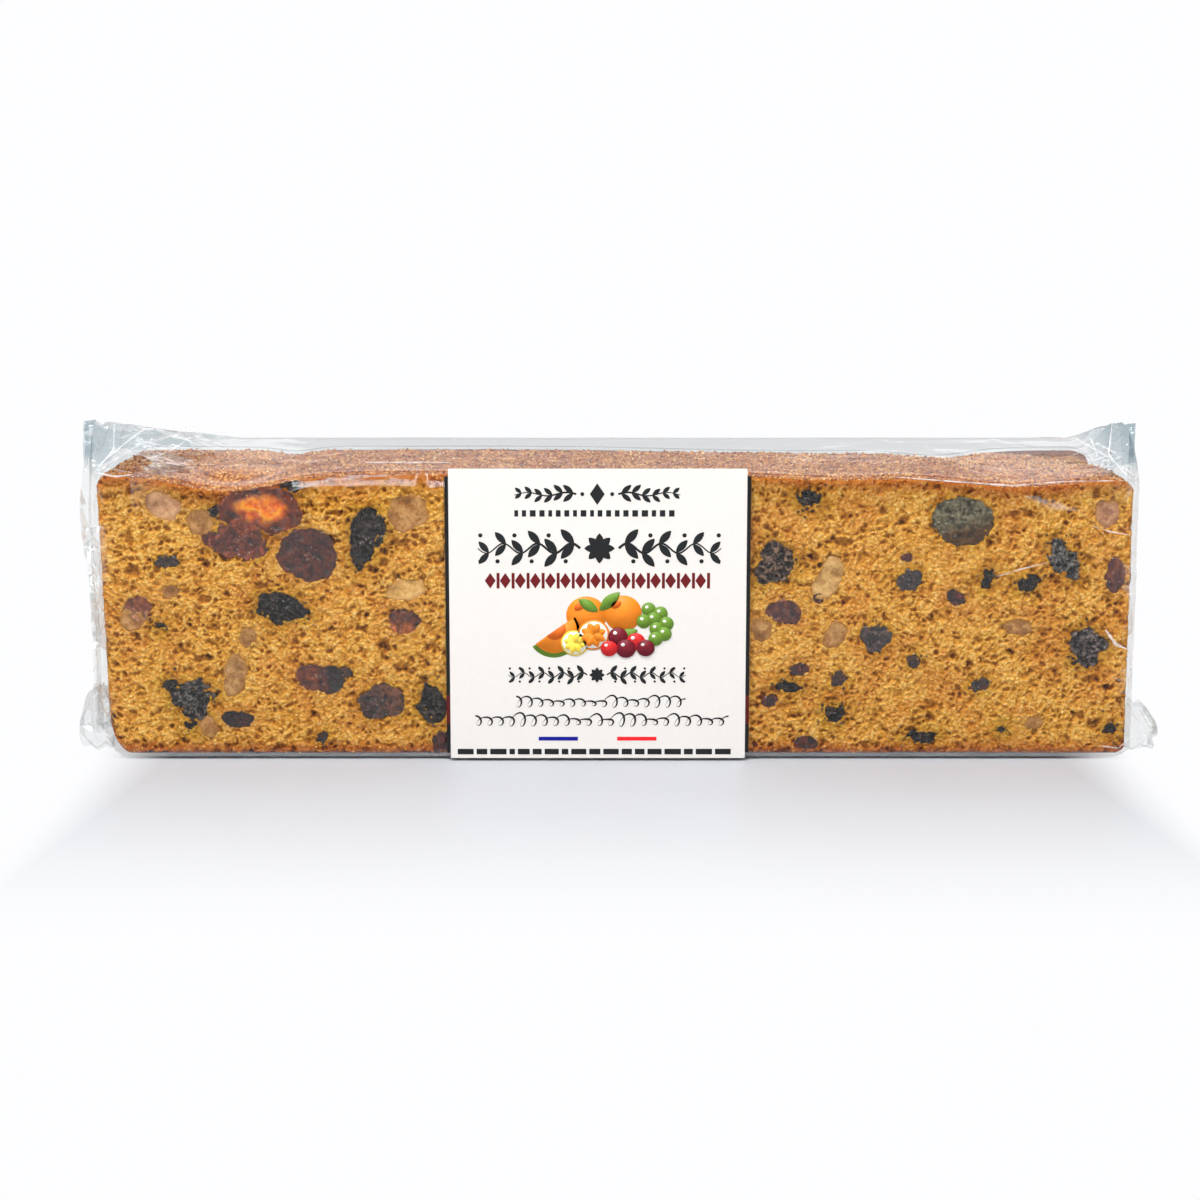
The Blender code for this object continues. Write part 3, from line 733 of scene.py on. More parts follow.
# Smaller fruit in the front face: kind, centre X and Z, width, height, tilt
SMALL_FRUIT = (
    ("dark", -80.4, 51.3, 3.0, 2.6, 20),
    ("red", -81.6, 45.5, 4.0, 3.0, -20),
    ("pale", -90.0, 34.8, 3.2, 2.4, 0),
    ("pale", -98.0, 28.8, 4.0, 3.6, 0),
    ("dark", -92.3, 27.8, 1.8, 1.2, 0),
    ("dark", -86.6, 7.0, 3.0, 2.2, 0),
    ("pale", -83.0, 6.6, 3.2, 3.6, 30),
    ("dark", -90.4, 15.4, 3.4, 2.6, 0),
    ("brown", -55.0, 18.2, 3.2, 2.4, 0),
    ("red", -35.6, 3.6, 4.6, 4.0, 10),
    ("brown", -59.8, 4.6, 2.4, 2.2, 45),
    ("pale", -74.4, 25.4, 3.0, 3.4, -50),
    ("pale", -41.8, 50.8, 7.6, 6.4, 20),
    ("pale", 29.8, 27.0, 3.8, 4.0, 0),
    ("red", 41.2, 33.4, 2.0, 2.0, 0),
    ("red", 59.0, 41.8, 2.4, 1.6, 0),
    ("dark", 83.8, 36.6, 4.6, 3.0, 15),
    ("dark", 75.6, 37.8, 2.8, 4.6, -20),
    ("red", 69.2, 33.4, 4.0, 3.2, -40),
    ("pale", 44.8, 25.8, 3.8, 5.0, -20),
    ("brown", 60.8, 20.4, 2.8, 3.2, 30),
    ("red", 37.8, 18.8, 4.0, 3.0, 10),
    ("brown", 45.6, 16.6, 3.4, 3.6, 0),
    ("red", 31.6, 12.2, 3.4, 2.8, 30),
    ("brown", 74.2, 15.4, 4.4, 3.0, 0),
    ("pale", 85.8, 7.6, 3.4, 2.2, 0),
    ("pale", 82.0, 27.4, 5.0, 2.8, 0),
    ("dark", 79.0, 6.2, 2.2, 1.8, 0),
    ("dark", 63.0, 4.6, 7.0, 2.6, 0),
    ("red", 39.0, 3.4, 5.0, 3.0, 0),
    ("dark", 101.6, 6.4, 2.6, 2.4, 0),
    ("dark", 35.4, 15.0, 6.4, 2.0, -5),
    ("dark", -65.2, 56.4, 4.6, 2.2, 0),
)


def small_shapes(draw):
    made = []
    for number, (kind, *place) in enumerate(SMALL_FRUIT):
        made.append(made_outline(f"small_{number}", kind, *place, draw))
    return made


def back_shapes(draw, wanted=44):
    """Fruit scattered over the back face, clear of each other."""
    sizes = {"dark": (5, 11), "red": (4, 12), "brown": (3, 9), "pale": (3, 9), "amber": (8, 12), "green": (9, 12)}
    kinds = ["dark"] * 9 + ["red"] * 8 + ["brown"] * 7 + ["pale"] * 8 + ["amber", "green"]
    made = []
    for number in range(600):
        if len(made) == wanted:
            break
        kind = kinds[number % len(kinds)]
        width = draw.uniform(*sizes[kind])
        height = width * draw.uniform(0.5, 1.0)
        x, z = draw.uniform(-CAKE_HALF + 5, CAKE_HALF - 5), draw.uniform(7, 51)
        clear = all(math.hypot(x - s["x"], z - s["z"]) > width / 2 + s["radii"].max() + 1.5 for s in made)
        if clear:
            made.append(made_outline(f"back_{number}", kind, x, z, width, height, draw.uniform(-90, 90), draw))
    return made


def make_joined_fruit(prefix, shapes, side, seed):
    """All smaller fruit of one face, one piece for each kind."""
    for kind in FRUIT_LOOKS:
        parts = [fruit_part(s, side, seed + 17 * n) for n, s in enumerate(shapes) if s["kind"] == kind]
        if parts:
            material = fruit_material(f"{prefix}_{kind}_look", kind)
            make_piece(f"{prefix}_{kind}", parts, material)


# ---------------------------------------------------------------- crumbs, specks and painted glints

BIT_CORNERS = np.array([(1, 0, 0), (-1, 0, 0), (0, 1, 0), (0, -1, 0), (0, 0, 1), (0, 0, -1)], float)
BIT_FACES = np.array([(0, 2, 4), (2, 1, 4), (1, 3, 4), (3, 0, 4), (2, 0, 5), (1, 2, 5), (3, 1, 5), (0, 3, 5)])


def bits_part(places, sizes, seed, **masks):
    """Small uneven lumps at these places, as one part."""
    draw = np.random.default_rng(seed)
    count = len(places)
    corners = BIT_CORNERS[None] * draw.uniform(0.55, 1.35, (count, 6, 1)) + draw.uniform(-0.3, 0.3, (count, 6, 3))
    points = places[:, None] + corners * sizes[:, None, None] / 2
    faces = BIT_FACES[None] + 6 * np.arange(count)[:, None, None]
    flat = {name: np.repeat(mask, 6) for name, mask in masks.items()}
    return points.reshape(-1, 3), faces.reshape(-1, 3).tolist(), flat


def picked(parts, count, seed, weight):
    """Places on these parts, with the chance of each point given by weight(points, masks)."""
    points = np.concatenate([part[0] for part in parts])
    masks = {name: np.concatenate([part[2][name] for part in parts]) for name in parts[0][2]}
    chance = np.maximum(weight(points, masks), 0.0)
    return points[np.random.default_rng(seed).choice(len(points), count, replace=False, p=chance / chance.sum())]


def plain_material(name, dark, pale, roughness, **settings):
    look = Look(name, roughness, **settings)
    look.colour(look.ramp(look.noise(0.8, 3.0, 0.6), (0.35, dark), (0.65, pale)))
    look.rough(look.span(look.noise(0.5), 0.3, 0.7, 0.8 * roughness, 1.2 * roughness))
    look.bump(look.noise(0.3, 2.0), 0.05)
    return look.material


def make_bits(faces, fruit, crust):
    """Loose grains on the cake, dark specks round the dark fruit, and white specks on grain tops, baked edges and
    fruit that stand in for glints: painted highlights.
    """
    draw = np.random.default_rng(31)
    crumb = bpy.data.materials["cake_crumb_look"]
    grains = picked(faces, GRAIN_COUNT, 32, lambda p, m: m["height"] - 0.45 - m["stain_dark"])
    sizes = draw.uniform(0.25, 0.62, GRAIN_COUNT)
    bright = draw.uniform(0.5, 0.95, GRAIN_COUNT)
    make_piece("loose_crumbs", [bits_part(grains, sizes, 33, height=bright)], crumb)
    grains = picked(crust, CRUST_GRAIN_COUNT, 42, lambda p, m: m["height"] * (p[:, 1] < 24.0) * (p[:, 2] > 20.0))
    sizes = draw.uniform(0.35, 0.95, CRUST_GRAIN_COUNT)
    tone = draw.uniform(0.25, 1.0, CRUST_GRAIN_COUNT)
    part = bits_part(grains, sizes, 43, height=tone)
    make_piece("crust_grains", [part], bpy.data.materials["cake_crust_look"])
    specks = picked(faces, SPECK_COUNT, 34, lambda p, m: m["stain_dark"] - 0.06)
    speck_look = plain_material("speck_look", linear(16, 12, 10), linear(52, 40, 36), 0.5)
    sizes = draw.uniform(0.3, 0.8, SPECK_COUNT)
    make_piece("dark_specks", [bits_part(specks, sizes, 35)], speck_look)
    # White specks on the highest grains and baked edges, and on the fruit, are painted highlights in place of glints.
    glint_places = picked(faces, GLINT_COUNT, 36, lambda p, m: m["height"] + m["baked"])
    wet = picked(fruit, GLINT_COUNT // 2, 37, lambda p, m: m["height"] * (m["rim"] < 0.9))
    wet[:, 1] -= 0.08
    glint_places = np.concatenate([glint_places, wet])
    glint_places[:, 1] -= 0.06
    painted_glint_look = plain_material("painted_glint_look", linear(236, 226, 210), linear(255, 252, 246), 0.2)
    sizes = draw.uniform(0.1, 0.22, len(glint_places))
    make_piece("painted_glints", [bits_part(glint_places, sizes, 38)], painted_glint_look)


# ---------------------------------------------------------------- the film

FILM_FRONT = -24.95
FILM_BACK = 26.45
FILM_RIDGE = 61.8
FILM_RIDGE_Y = 17.0
FILM_BACK_TOP = 58.4
CRUST_CLEARANCE = 0.6  # the film lies at least this high over the crust
CREASE_LIFT = 1.0  # the front crease of the film lies this much over the edge of the crust
EAR_HEIGHT = 66.6
EAR_Y = 3.0
LEFT_EAR_START, RIGHT_EAR_START = -81.0, 99.0
LEFT_SEAL, RIGHT_SEAL = -111.2, 109.5
SEAL_THICK = 0.9
SEAL_BULGE = 1.8
SEAL_BULGE_Z = 47.0
CLOSING_SHARES = (0.0, 0.22, 0.42, 0.6, 0.68, 1.0)
CLOSING_SQUEEZES = (0.0, 0.24, 0.55, 0.86, 1.0, 1.0)
# Points between the corners of the film's section, from the front foot round to the back and under
SECTION_SPANS = (18, 20, 20, 6, 14, 14, 14, 7, 5, 5, 18, 18, 5, 30, 5)
BODY_STEP = 1.5
HIGHLIGHT_LINE_POINTS = 60
HIGHLIGHT_LINE_RISE = 0.08
FIN_FOOT, FIN_TALL, FIN_CRIMP = 26.0, 9.0, 1.1
CLOSING_STEPS = 26


def crumple(a, b, size, seed, folds=5):
    """Flat facets between sharp creases, from 0 to 1."""
    total = 0.0
    bend = 0.5 * noise(a, b, 2.6 * size, seed + 77)
    for fold in range(folds):
        draw = np.random.default_rng(seed + fold)
        turn = math.pi * (fold + draw.uniform(0, 0.8)) / folds
        wave = (a * math.cos(turn) + b * math.sin(turn)) / (size * draw.uniform(0.7, 1.4))
        wave = wave + draw.uniform(0, 2) + bend
        total = total + np.abs(np.mod(wave, 2.0) - 1.0)
    return total / folds


def ear_share(x):
    """0 over the middle of the bar, rising to 1 at the tips of the end seals."""
    left = np.clip((LEFT_EAR_START - x) / (CAKE_HALF + 2 + LEFT_EAR_START), 0, 1)
    right = np.clip((x - RIGHT_EAR_START) / (CAKE_HALF + 2 - RIGHT_EAR_START), 0, 1)
    return left + right


def film_stations():
    """Places along the pack with how far it is squeezed there."""
    half = CAKE_HALF + 1.0
    body = np.linspace(-half, half, int(2 * half / BODY_STEP))
    shares = np.linspace(0, 1, CLOSING_STEPS + 1)[1:]
    squeezes = np.interp(shares, CLOSING_SHARES, CLOSING_SQUEEZES)
    left = -half + shares * (LEFT_SEAL + half)
    right = half + shares * (RIGHT_SEAL - half)
    places = np.concatenate([left[::-1], body, right])
    return places, np.concatenate([squeezes[::-1], 0 * body, squeezes])


def film_corners(x, squeeze):
    """The corners of the film's section across the bar at each x, as rows of Y and Z."""
    ear = ear_share(x)
    front = mix(FILM_FRONT, -SEAL_THICK / 2, squeeze)
    back = mix(FILM_BACK, SEAL_THICK / 2, squeeze)
    ridge_y = mix(mix(FILM_RIDGE_Y, EAR_Y, ear), (front + back) / 2, squeeze)
    ridge = mix(FILM_RIDGE, EAR_HEIGHT, ear)
    on_crust = cake_top(np.clip(x, -CAKE_HALF + 3, CAKE_HALF - 3), -CUT) + CREASE_LIFT
    crease = mix(on_crust, EAR_HEIGHT - 1.5, squeeze)
    back_top = FILM_BACK_TOP + (EAR_HEIGHT - FILM_RIDGE) * squeeze
    turn = 1.2 - squeeze
    foot = 0.4 * squeeze + 0.05
    lift = (cake_bottom(np.clip(x, -CAKE_HALF, CAKE_HALF)) - CAKE_FOOT) * (1 - squeeze)
    corners = [
        (front, foot + turn + lift),
        (front, 20 + 0 * x),
        (front, 40 + 0 * x),
        (front, crease - turn),
        (front + turn, crease),
        ((2 * front + ridge_y) / 3, crease + (ridge - crease) * (0.3 + 0.1 * ear)),
        ((front + 2 * ridge_y) / 3, crease + (ridge - crease) * (0.7 - 0.05 * ear)),
        (ridge_y, ridge),
        ((ridge_y + 2 * back) / 3, ridge - (ridge - back_top) * 0.35),
        (back - turn, back_top),
        (back, back_top - 2.5 * turn),
        (back, 30 + 0 * x),
        (back, foot + 2 * turn),
        (back - 1.6 * turn, foot),
        (front + turn, foot + 0.8 * lift),
    ]
    return np.array([(y, z) for y, z in corners]).transpose(2, 0, 1)


def film_sheet():
    """Points and crease mask of the film all round the pack, one row for each station."""
    x, squeeze = film_stations()
    corners = film_corners(x, squeeze)
    pieces = []
    for number, count in enumerate(SECTION_SPANS):
        share = (np.arange(count) / count)[None, :, None]
        following = corners[:, (number + 1) % len(SECTION_SPANS), None]
        pieces.append(corners[:, number, None] * (1 - share) + following * share)
    section = np.concatenate(pieces, 1)
    for _ in range(4):
        section = (np.roll(section, 1, 1) + 2 * section + np.roll(section, -1, 1)) / 4
    y, z = section[..., 0], section[..., 1]
    x, squeeze = np.broadcast_to(x[:, None], y.shape), np.broadcast_to(squeeze[:, None], y.shape)
    on_crust = cake_top(np.clip(x, -CAKE_HALF, CAKE_HALF), np.clip(y, -CUT, CUT)) + CRUST_CLEARANCE
    z = np.where((z > 50) & (squeeze == 0), np.maximum(z, on_crust), z)
    along = np.cumsum(np.hypot(np.diff(y, axis=1, prepend=y[:, -1:]), np.diff(z, axis=1, prepend=z[:, -1:])), 1)
    out_y, out_z = np.roll(z, -1, 1) - np.roll(z, 1, 1), np.roll(y, 1, 1) - np.roll(y, -1, 1)
    length = np.maximum(np.hypot(out_y, out_z), 1e-6)
    out_y, out_z = -out_y / length, -out_z / length
    share = np.clip(np.where(x < 0, (-CAKE_HALF - x) / (-CAKE_HALF - LEFT_SEAL),
                             (x - CAKE_HALF) / (RIGHT_SEAL - CAKE_HALF)), 0, 1)
    bulge = np.where(x < 0, SEAL_BULGE * share * bell(z, SEAL_BULGE_Z, 11.0), 0.0)
    near_end = smooth(np.abs(x), CAKE_HALF - 22, CAKE_HALF + 1)
    top = smooth(z, 57.5, 60.5)
    facets = crumple(along, x, 5.0, 900)
    fine = crumple(along, x, 2.2, 950)
    ripple = rough_noise(along, 0.18 * x, 3.4, 970)
    on_top = top * (0.06 + 0.45 * near_end) * (ripple + 0.8 * (facets - 0.5))
    on_seal = smooth(np.abs(x), CAKE_HALF - 1, CAKE_HALF + 3) * (1.5 * (facets - 0.5) + 0.7 * (fine - 0.5))
    on_back = smooth(y, 25.0, 26.3) * 0.25 * (ripple - 1.0)
    out = on_top + on_seal + on_back
    x = x - bulge + np.sign(x) * 0.6 * (facets - 0.6) * share
    points = np.stack([x, y + out * out_y, np.maximum(z + out * out_z, 0.03)], -1)
    near_end = smooth(np.abs(x), CAKE_HALF - 2.5, CAKE_HALF + 1.5)
    ear = smooth(ear_share(x), 0.0, 0.35) * smooth(z, 57.5, 60.0) * smooth(y, 20.0, 12.0)
    near_end = np.maximum(near_end * smooth(y, 20.0, 12.0), ear)
    # strip marks the film's front foot, where the material paints a pale reflection.
    strip = smooth(z, 1.9, 0.9) * smooth(y, -22.5, -24.0)
    return points, {"creased": near_end, "ear": ear, "strip": strip}


def film_material():
    """Thin clear film: the shallower it is seen the more it mirrors. Its ends are creased into small facets. On the
    ears its tint is a painted blue-grey shade; the milky facets and lines of its ends and the pale strip at its foot
    are partly haze and partly painted reflection.
    """
    look = Look("clear_film_look", 0.10, Metallic=0.75, Specular_IOR_Level=0.5)
    look.colour(look.ramp(look.noise(9.0), (0.3, (0.82, 0.86, 0.88)), (0.7, (0.94, 0.96, 0.97))))
    creased = look.mask("creased")
    warp = look.node("ShaderNodeTexNoise", {"Vector": look.place, "Scale": 1 / (7.0 * MM), "Detail": 2.0})
    offset = look.node("ShaderNodeVectorMath", {0: warp.outputs["Color"], 1: (2.6 * MM,) * 3}, operation="MULTIPLY")
    warped = look.node("ShaderNodeVectorMath", {0: look.place, 1: offset.outputs[0]}, operation="ADD")
    edges = []
    for size in (8.5, 4.2):
        inputs = {"Vector": warped.outputs[0], "Scale": 1 / (size * MM)}
        edges.append(look.node("ShaderNodeTexVoronoi", inputs, feature="DISTANCE_TO_EDGE").outputs["Distance"])
    facets = look.math("MULTIPLY", look.math("ADD", edges[0], look.math("MULTIPLY", edges[1], 0.5)), creased)
    look.bump(look.noise(3.4, 2.0, 0.5, 0.6), 0.05)
    look.bump(look.noise(14.0, 2.0, 0.5, 0.5), 0.4)
    look.bump(facets, 3.0)
    # Fine pale lines along the facet edges of the ends: partly whitened creases, partly painted reflection.
    lines = look.math("ADD", look.span(edges[0], 0.035, 0.0), look.span(edges[1], 0.03, 0.0, 0.0, 0.4))
    lines = look.math("MULTIPLY", look.math("MULTIPLY", lines, creased), look.span(look.noise(5.0), 0.4, 0.6))
    facing = look.node("ShaderNodeLayerWeight", {"Blend": 0.5}).outputs["Facing"]
    mirror = look.math("MULTIPLY", look.math("POWER", facing, 5.0), look.span(creased, 0.0, 1.0, 0.62, 0.3))
    inputs = {"Vector": warped.outputs[0], "Scale": 1 / (8.5 * MM)}
    facet = look.node("ShaderNodeTexVoronoi", inputs).outputs["Color"]
    facet = look.node("ShaderNodeSeparateColor", {0: facet})
    # On the ears the film's tint turns blue-grey, darker on some facets than others: painted shade in place of the
    # dim room that the ears mirror.
    dim = look.math("MULTIPLY", look.mask("ear"), look.span(facet.outputs[0], 0.2, 0.8, 0.3, 1.0))
    # Some facets of the ends turn milky: partly the crumpled film's haze, partly painted reflection on the facets.
    milky = look.math("MULTIPLY", creased, look.span(facet.outputs[1], 0.45, 0.95, 0.0, 0.34))
    haze = look.math("ADD", mirror, look.math("MULTIPLY", lines, 0.45))
    haze = look.math("ADD", haze, milky)
    # A pale strip of film along the front foot: painted reflection, partly the haze of the film turning under the
    # cake.
    haze = look.math("ADD", haze, look.math("MULTIPLY", look.mask("strip"), 0.4))
    share = look.math("ADD", haze, 0.02, clamp=True)
    tint = look.blend(creased, (0.885, 0.888, 0.885), (0.955, 0.958, 0.958))
    tint = look.blend(dim, tint, (0.65, 0.715, 0.74))
    clear = look.node("ShaderNodeBsdfTransparent", {"Color": tint})
    both = look.node("ShaderNodeMixShader", {0: share, 1: clear.outputs[0], 2: look.shader.outputs[0]})
    look.put(look.tree.nodes["Material Output"].inputs["Surface"], both.outputs[0])
    return look.material


def highlight_line_material():
    """A painted highlight along a crease in the film: a whitish line that is partly clear."""
    look = Look("film_highlight_look", 0.25, Metallic=0.2)
    look.colour(look.ramp(look.noise(3.0), (0.3, (0.86, 0.86, 0.88)), (0.7, (1.0, 0.99, 0.98))))
    share = look.span(look.noise(2.2, 3.0, 0.6), 0.3, 0.62, 0.1, 0.85)
    share = look.math("MULTIPLY", share, look.mask("strength"))
    clear = look.node("ShaderNodeBsdfTransparent")
    both = look.node("ShaderNodeMixShader", {0: share, 1: clear.outputs[0], 2: look.shader.outputs[0]})
    look.put(look.tree.nodes["Material Output"].inputs["Surface"], both.outputs[0])
    return look.material


# Crumpled lower corners of the pack: centre and half sizes
FILM_LOBES = (
    ((-106.6, -16.5, 7.2), (4.2, 7.5, 7.0)),
    ((107.8, -16.5, 5.4), (4.4, 7.5, 5.2)),
)


def lobe_part(centre, half_size, seed):
    """A crumpled lump of film at a lower corner."""
    rows, columns = 61, 96
    up = np.linspace(-math.pi / 2, math.pi / 2, rows)[:, None]
    turn = np.linspace(0, 2 * math.pi, columns, endpoint=False)[None, :]
    ball = np.stack([np.cos(up) * np.cos(turn), np.cos(up) * np.sin(turn), np.sin(up) + 0 * turn], -1)
    facets = crumple(4 * ball[..., 0] + 2 * ball[..., 2], 4 * ball[..., 1] - 2 * ball[..., 2], 1.3, seed, 6)
    size = 1.0 + 0.75 * (facets - 0.62)
    ball[..., 0] *= 1.0 - 0.35 * ball[..., 2]
    points = np.array(centre) + ball * size[..., None] * np.array(half_size)
    points[..., 2] = np.maximum(points[..., 2], 0.05)
    return grid_part(points, wrap=True, creased=0.75 + 0 * facets)


# Painted highlights along creases of the film: width, strength and the X, Y, Z of the points they pass through
FILM_HIGHLIGHT_LINES = (
    (0.42, 1.0, ((55.2, -25.2, 58.3), (68.7, -25.2, 57.3), (79.6, -25.2, 56.5), (90.3, -25.2, 57.4),
                 (103.2, -25.2, 57.5))),
    (0.5, 0.8, ((-52.0, -18.5, 60.4), (-42.0, -17.5, 60.3), (-33.0, -17.0, 60.2))),
    (0.9, 0.5, ((-65.7, -25.2, 55.2), (-57.6, -25.2, 57.9), (-50.7, -25.2, 58.4), (-42.0, -25.2, 58.6))),
    (0.5, 0.9, ((-104.4, -25.1, 59.2), (-100.2, -25.2, 58.3), (-96.8, -25.2, 58.8))),
    (0.34, 0.8, ((77.0, -25.1, 37.9), (82.0, -25.1, 39.5), (88.0, -25.1, 41.0))),
    (0.34, 0.9, ((95.8, -25.1, 48.4), (99.6, -25.1, 47.2), (104.2, -25.1, 46.4))),
    (0.75, 0.9, ((99.4, -25.1, 27.2), (101.8, -25.1, 24.0), (104.2, -25.1, 23.0))),
    (0.3, 0.9, ((101.6, -25.1, 17.4), (102.6, -25.1, 16.6), (103.8, -25.1, 16.9))),
    (1.8, 0.28, ((82.4, -25.1, 54.4), (88.0, -25.1, 52.6), (93.6, -25.1, 51.4))),
    (0.3, 0.8, ((-104.6, -25.1, 58.6), (-105.4, -24.0, 50.0), (-105.0, -24.0, 40.0), (-104.6, -24.0, 26.0))),
    (0.3, 0.7, ((-103.0, -25.1, 8.4), (-104.4, -24.2, 5.4), (-99.6, -25.1, 2.4))),
    (0.3, 0.8, ((105.2, -24.6, 57.0), (105.6, -24.4, 44.0), (105.2, -24.4, 30.0), (105.6, -24.4, 12.0))),
    (0.4, 0.7, ((99.0, -25.1, 3.0), (103.0, -25.1, 2.4), (106.0, -24.4, 5.0))),
    (0.4, 1.0, ((103.6, -25.2, 57.6), (100.8, -16.0, 61.6), (104.6, 0.0, 67.0))),
    (0.5, 0.9, ((97.6, -23.0, 59.4), (101.8, -12.0, 62.8), (105.0, 2.0, 67.2))),
    (0.6, 0.8, ((93.0, -16.0, 61.4), (99.6, -10.0, 63.4), (103.4, -17.0, 61.4))),
    (0.4, 0.8, ((90.0, 2.0, 62.8), (96.0, -4.0, 64.0), (101.0, -18.0, 61.0), (104.8, -25.2, 58.2))),
    (0.5, 0.7, ((97.0, 4.0, 64.2), (99.0, -6.0, 64.0), (98.4, -18.0, 61.0))),
    (0.4, 1.0, ((-104.4, -25.2, 59.2), (-102.6, -14.0, 62.6), (-105.2, 1.0, 67.0))),
    (0.8, 0.8, ((-103.8, -24.0, 59.6), (-98.0, -12.0, 63.2), (-90.0, -2.0, 65.0), (-80.0, 4.0, 64.4))),
    (0.5, 0.9, ((-104.0, -22.0, 60.4), (-99.6, -8.0, 64.6), (-96.4, 2.0, 66.4))),
    (0.9, 0.5, ((-102.0, -16.0, 62.0), (-92.0, -12.0, 62.6), (-80.0, -10.0, 62.0))),
    (0.4, 0.9, ((-103.0, -10.0, 64.0), (-98.0, -3.0, 65.6), (-88.0, 3.0, 65.6))),
    (0.5, 0.8, ((-96.0, -20.0, 60.8), (-91.0, -14.0, 62.2), (-88.0, -4.0, 64.2))),
)


def highlight_line_part(width, strength, path):
    """A thin whitish strip along a path, tapering to both of its ends: doubled film at a crease, whitened as a
    painted highlight.
    """
    knots = np.array(path)
    share = np.linspace(0, 1, HIGHLIGHT_LINE_POINTS)
    at = np.linspace(0, 1, len(knots))
    places = np.stack([np.interp(share, at, knots[:, axis]) for axis in range(3)], -1)
    for _ in range(6):
        places[1:-1] = (places[:-2] + 2 * places[1:-1] + places[2:]) / 4
    ahead = np.gradient(places, axis=0)
    across = np.stack([-ahead[:, 2], 0 * share, ahead[:, 0]], -1)
    across /= np.linalg.norm(across, axis=1, keepdims=True)
    half = width / 2 * np.sin(math.pi * share) ** 0.5 * (1 + 0.4 * noise(40 * share, 0 * share, 3.0, 91))
    rows = [places + across * (side * half)[:, None] for side in (-1, 0, 1)]
    rows[1] = rows[1] - np.array((0, HIGHLIGHT_LINE_RISE, 0))
    return grid_part(np.stack(rows, 1), strength=strength * np.array([0.3, 1.0, 0.3])[None, :])


def fin_part():
    """The long seal down the back: a flat crimped strip that lies on the film."""
    columns, rows = 420, 25
    x = np.broadcast_to(np.linspace(-CAKE_HALF - 2, CAKE_HALF + 1, columns)[None, :], (rows, columns))
    share = np.linspace(0, 1, rows)[:, None]
    z = FIN_FOOT + FIN_TALL * share + 0.4 * noise(x, 0 * x, 30.0, 93)
    crimp = 0.5 + 0.5 * np.sin(2 * math.pi * z / FIN_CRIMP)
    y = FILM_BACK + 0.04 + 0.1 * crimp * smooth(share, 0.15, 0.3)
    return grid_part(np.stack([x, y, z], -1), flip=True, creased=0.35 + 0 * x)


def make_film():
    clear = film_material()
    points, masks = film_sheet()
    make_piece("film_sheet", [grid_part(points, wrap=True, **masks)], clear, ("film_wrap",))
    lobes = [lobe_part(*lobe, 60 + n) for n, lobe in enumerate(FILM_LOBES)]
    make_piece("film_corners", lobes, clear, sharp=28)
    make_piece("film_back_seal", [fin_part()], clear)
    creases = [highlight_line_part(*crease) for crease in FILM_HIGHLIGHT_LINES]
    make_piece("film_highlight_strips", creases, highlight_line_material())


# ---------------------------------------------------------------- the label

PAPER = linear(221, 216, 211)
CHARCOAL = linear(24, 26, 28)
DARK_RED = linear(104, 8, 14)
BACKING_BAND = (7.6, 13.5)
PRINT_THICK = 0.03
PRINT_LAYER = 0.02  # how far each layer of print stands before the one under it
SLOPE = 0.28  # lean of the looping pen lines


def flat_part(outline_points, layer=0):
    """A thin plate of print with this outline of X and Z."""
    front = LABEL_FRONT - PRINT_LAYER * (layer + 1)
    count = len(outline_points)
    rings = [[(x, y, z) for x, z in outline_points] for y in (front, front + PRINT_THICK)]
    faces = [list(range(count)), list(range(2 * count - 1, count - 1, -1))]
    faces += [[i, i + count, (i + 1) % count + count, (i + 1) % count] for i in range(count)]
    return np.array(rings[0] + rings[1]), faces, {}


def ribbon_part(path, widths, layer=0):
    """A thin pen stroke along a path of X and Z, with its width at each point."""
    path, widths = np.array(path, float), np.array(widths, float)
    ahead = np.gradient(path, axis=0)
    ahead /= np.maximum(np.hypot(*ahead.T), 1e-9)[:, None]
    side = np.stack([-ahead[:, 1], ahead[:, 0]], -1) * widths[:, None] / 2
    front = LABEL_FRONT - PRINT_LAYER * (layer + 1)
    rows = []
    for offset, y in ((1, front), (-1, front), (-1, front + PRINT_THICK), (1, front + PRINT_THICK)):
        place = path + offset * side
        rows.append(np.stack([place[:, 0], np.full(len(place), y), place[:, 1]], -1))
    points = np.stack(rows, 1)
    corners, faces, masks = grid_part(points, wrap=True)
    last = 4 * (len(path) - 1)
    return corners, faces + [[0, 3, 2, 1], [last, last + 1, last + 2, last + 3]], masks


def ellipse(x, z, width, height, tilt=0.0, count=28):
    turn = math.radians(tilt)
    made = []
    for i in range(count):
        angle = 2 * math.pi * i / count
        a, b = width / 2 * math.cos(angle), height / 2 * math.sin(angle)
        made.append((x + a * math.cos(turn) - b * math.sin(turn), z + a * math.sin(turn) + b * math.cos(turn)))
    return made


def leaf(x, z, length, width, tilt):
    """A pointed leaf from its stalk at x, z."""
    turn = math.radians(tilt)
    made = []
    for i in range(24):
        share = i / 12 if i < 12 else (24 - i) / 12
        side = 1 if i < 12 else -1
        a, b = length * share, side * width / 2 * math.sin(math.pi * share) ** 0.8
        made.append((x + a * math.cos(turn) - b * math.sin(turn), z + a * math.sin(turn) + b * math.cos(turn)))
    return made


def block(left, foot, width, height, slope=0.0):
    lean_by = slope * height
    return [(left, foot), (left + width, foot), (left + width + lean_by, foot + height),
            (left + lean_by, foot + height)]


def lozenge(x, z, width, height):
    return [(x - width / 2, z), (x, z - height / 2), (x + width / 2, z), (x, z + height / 2)]


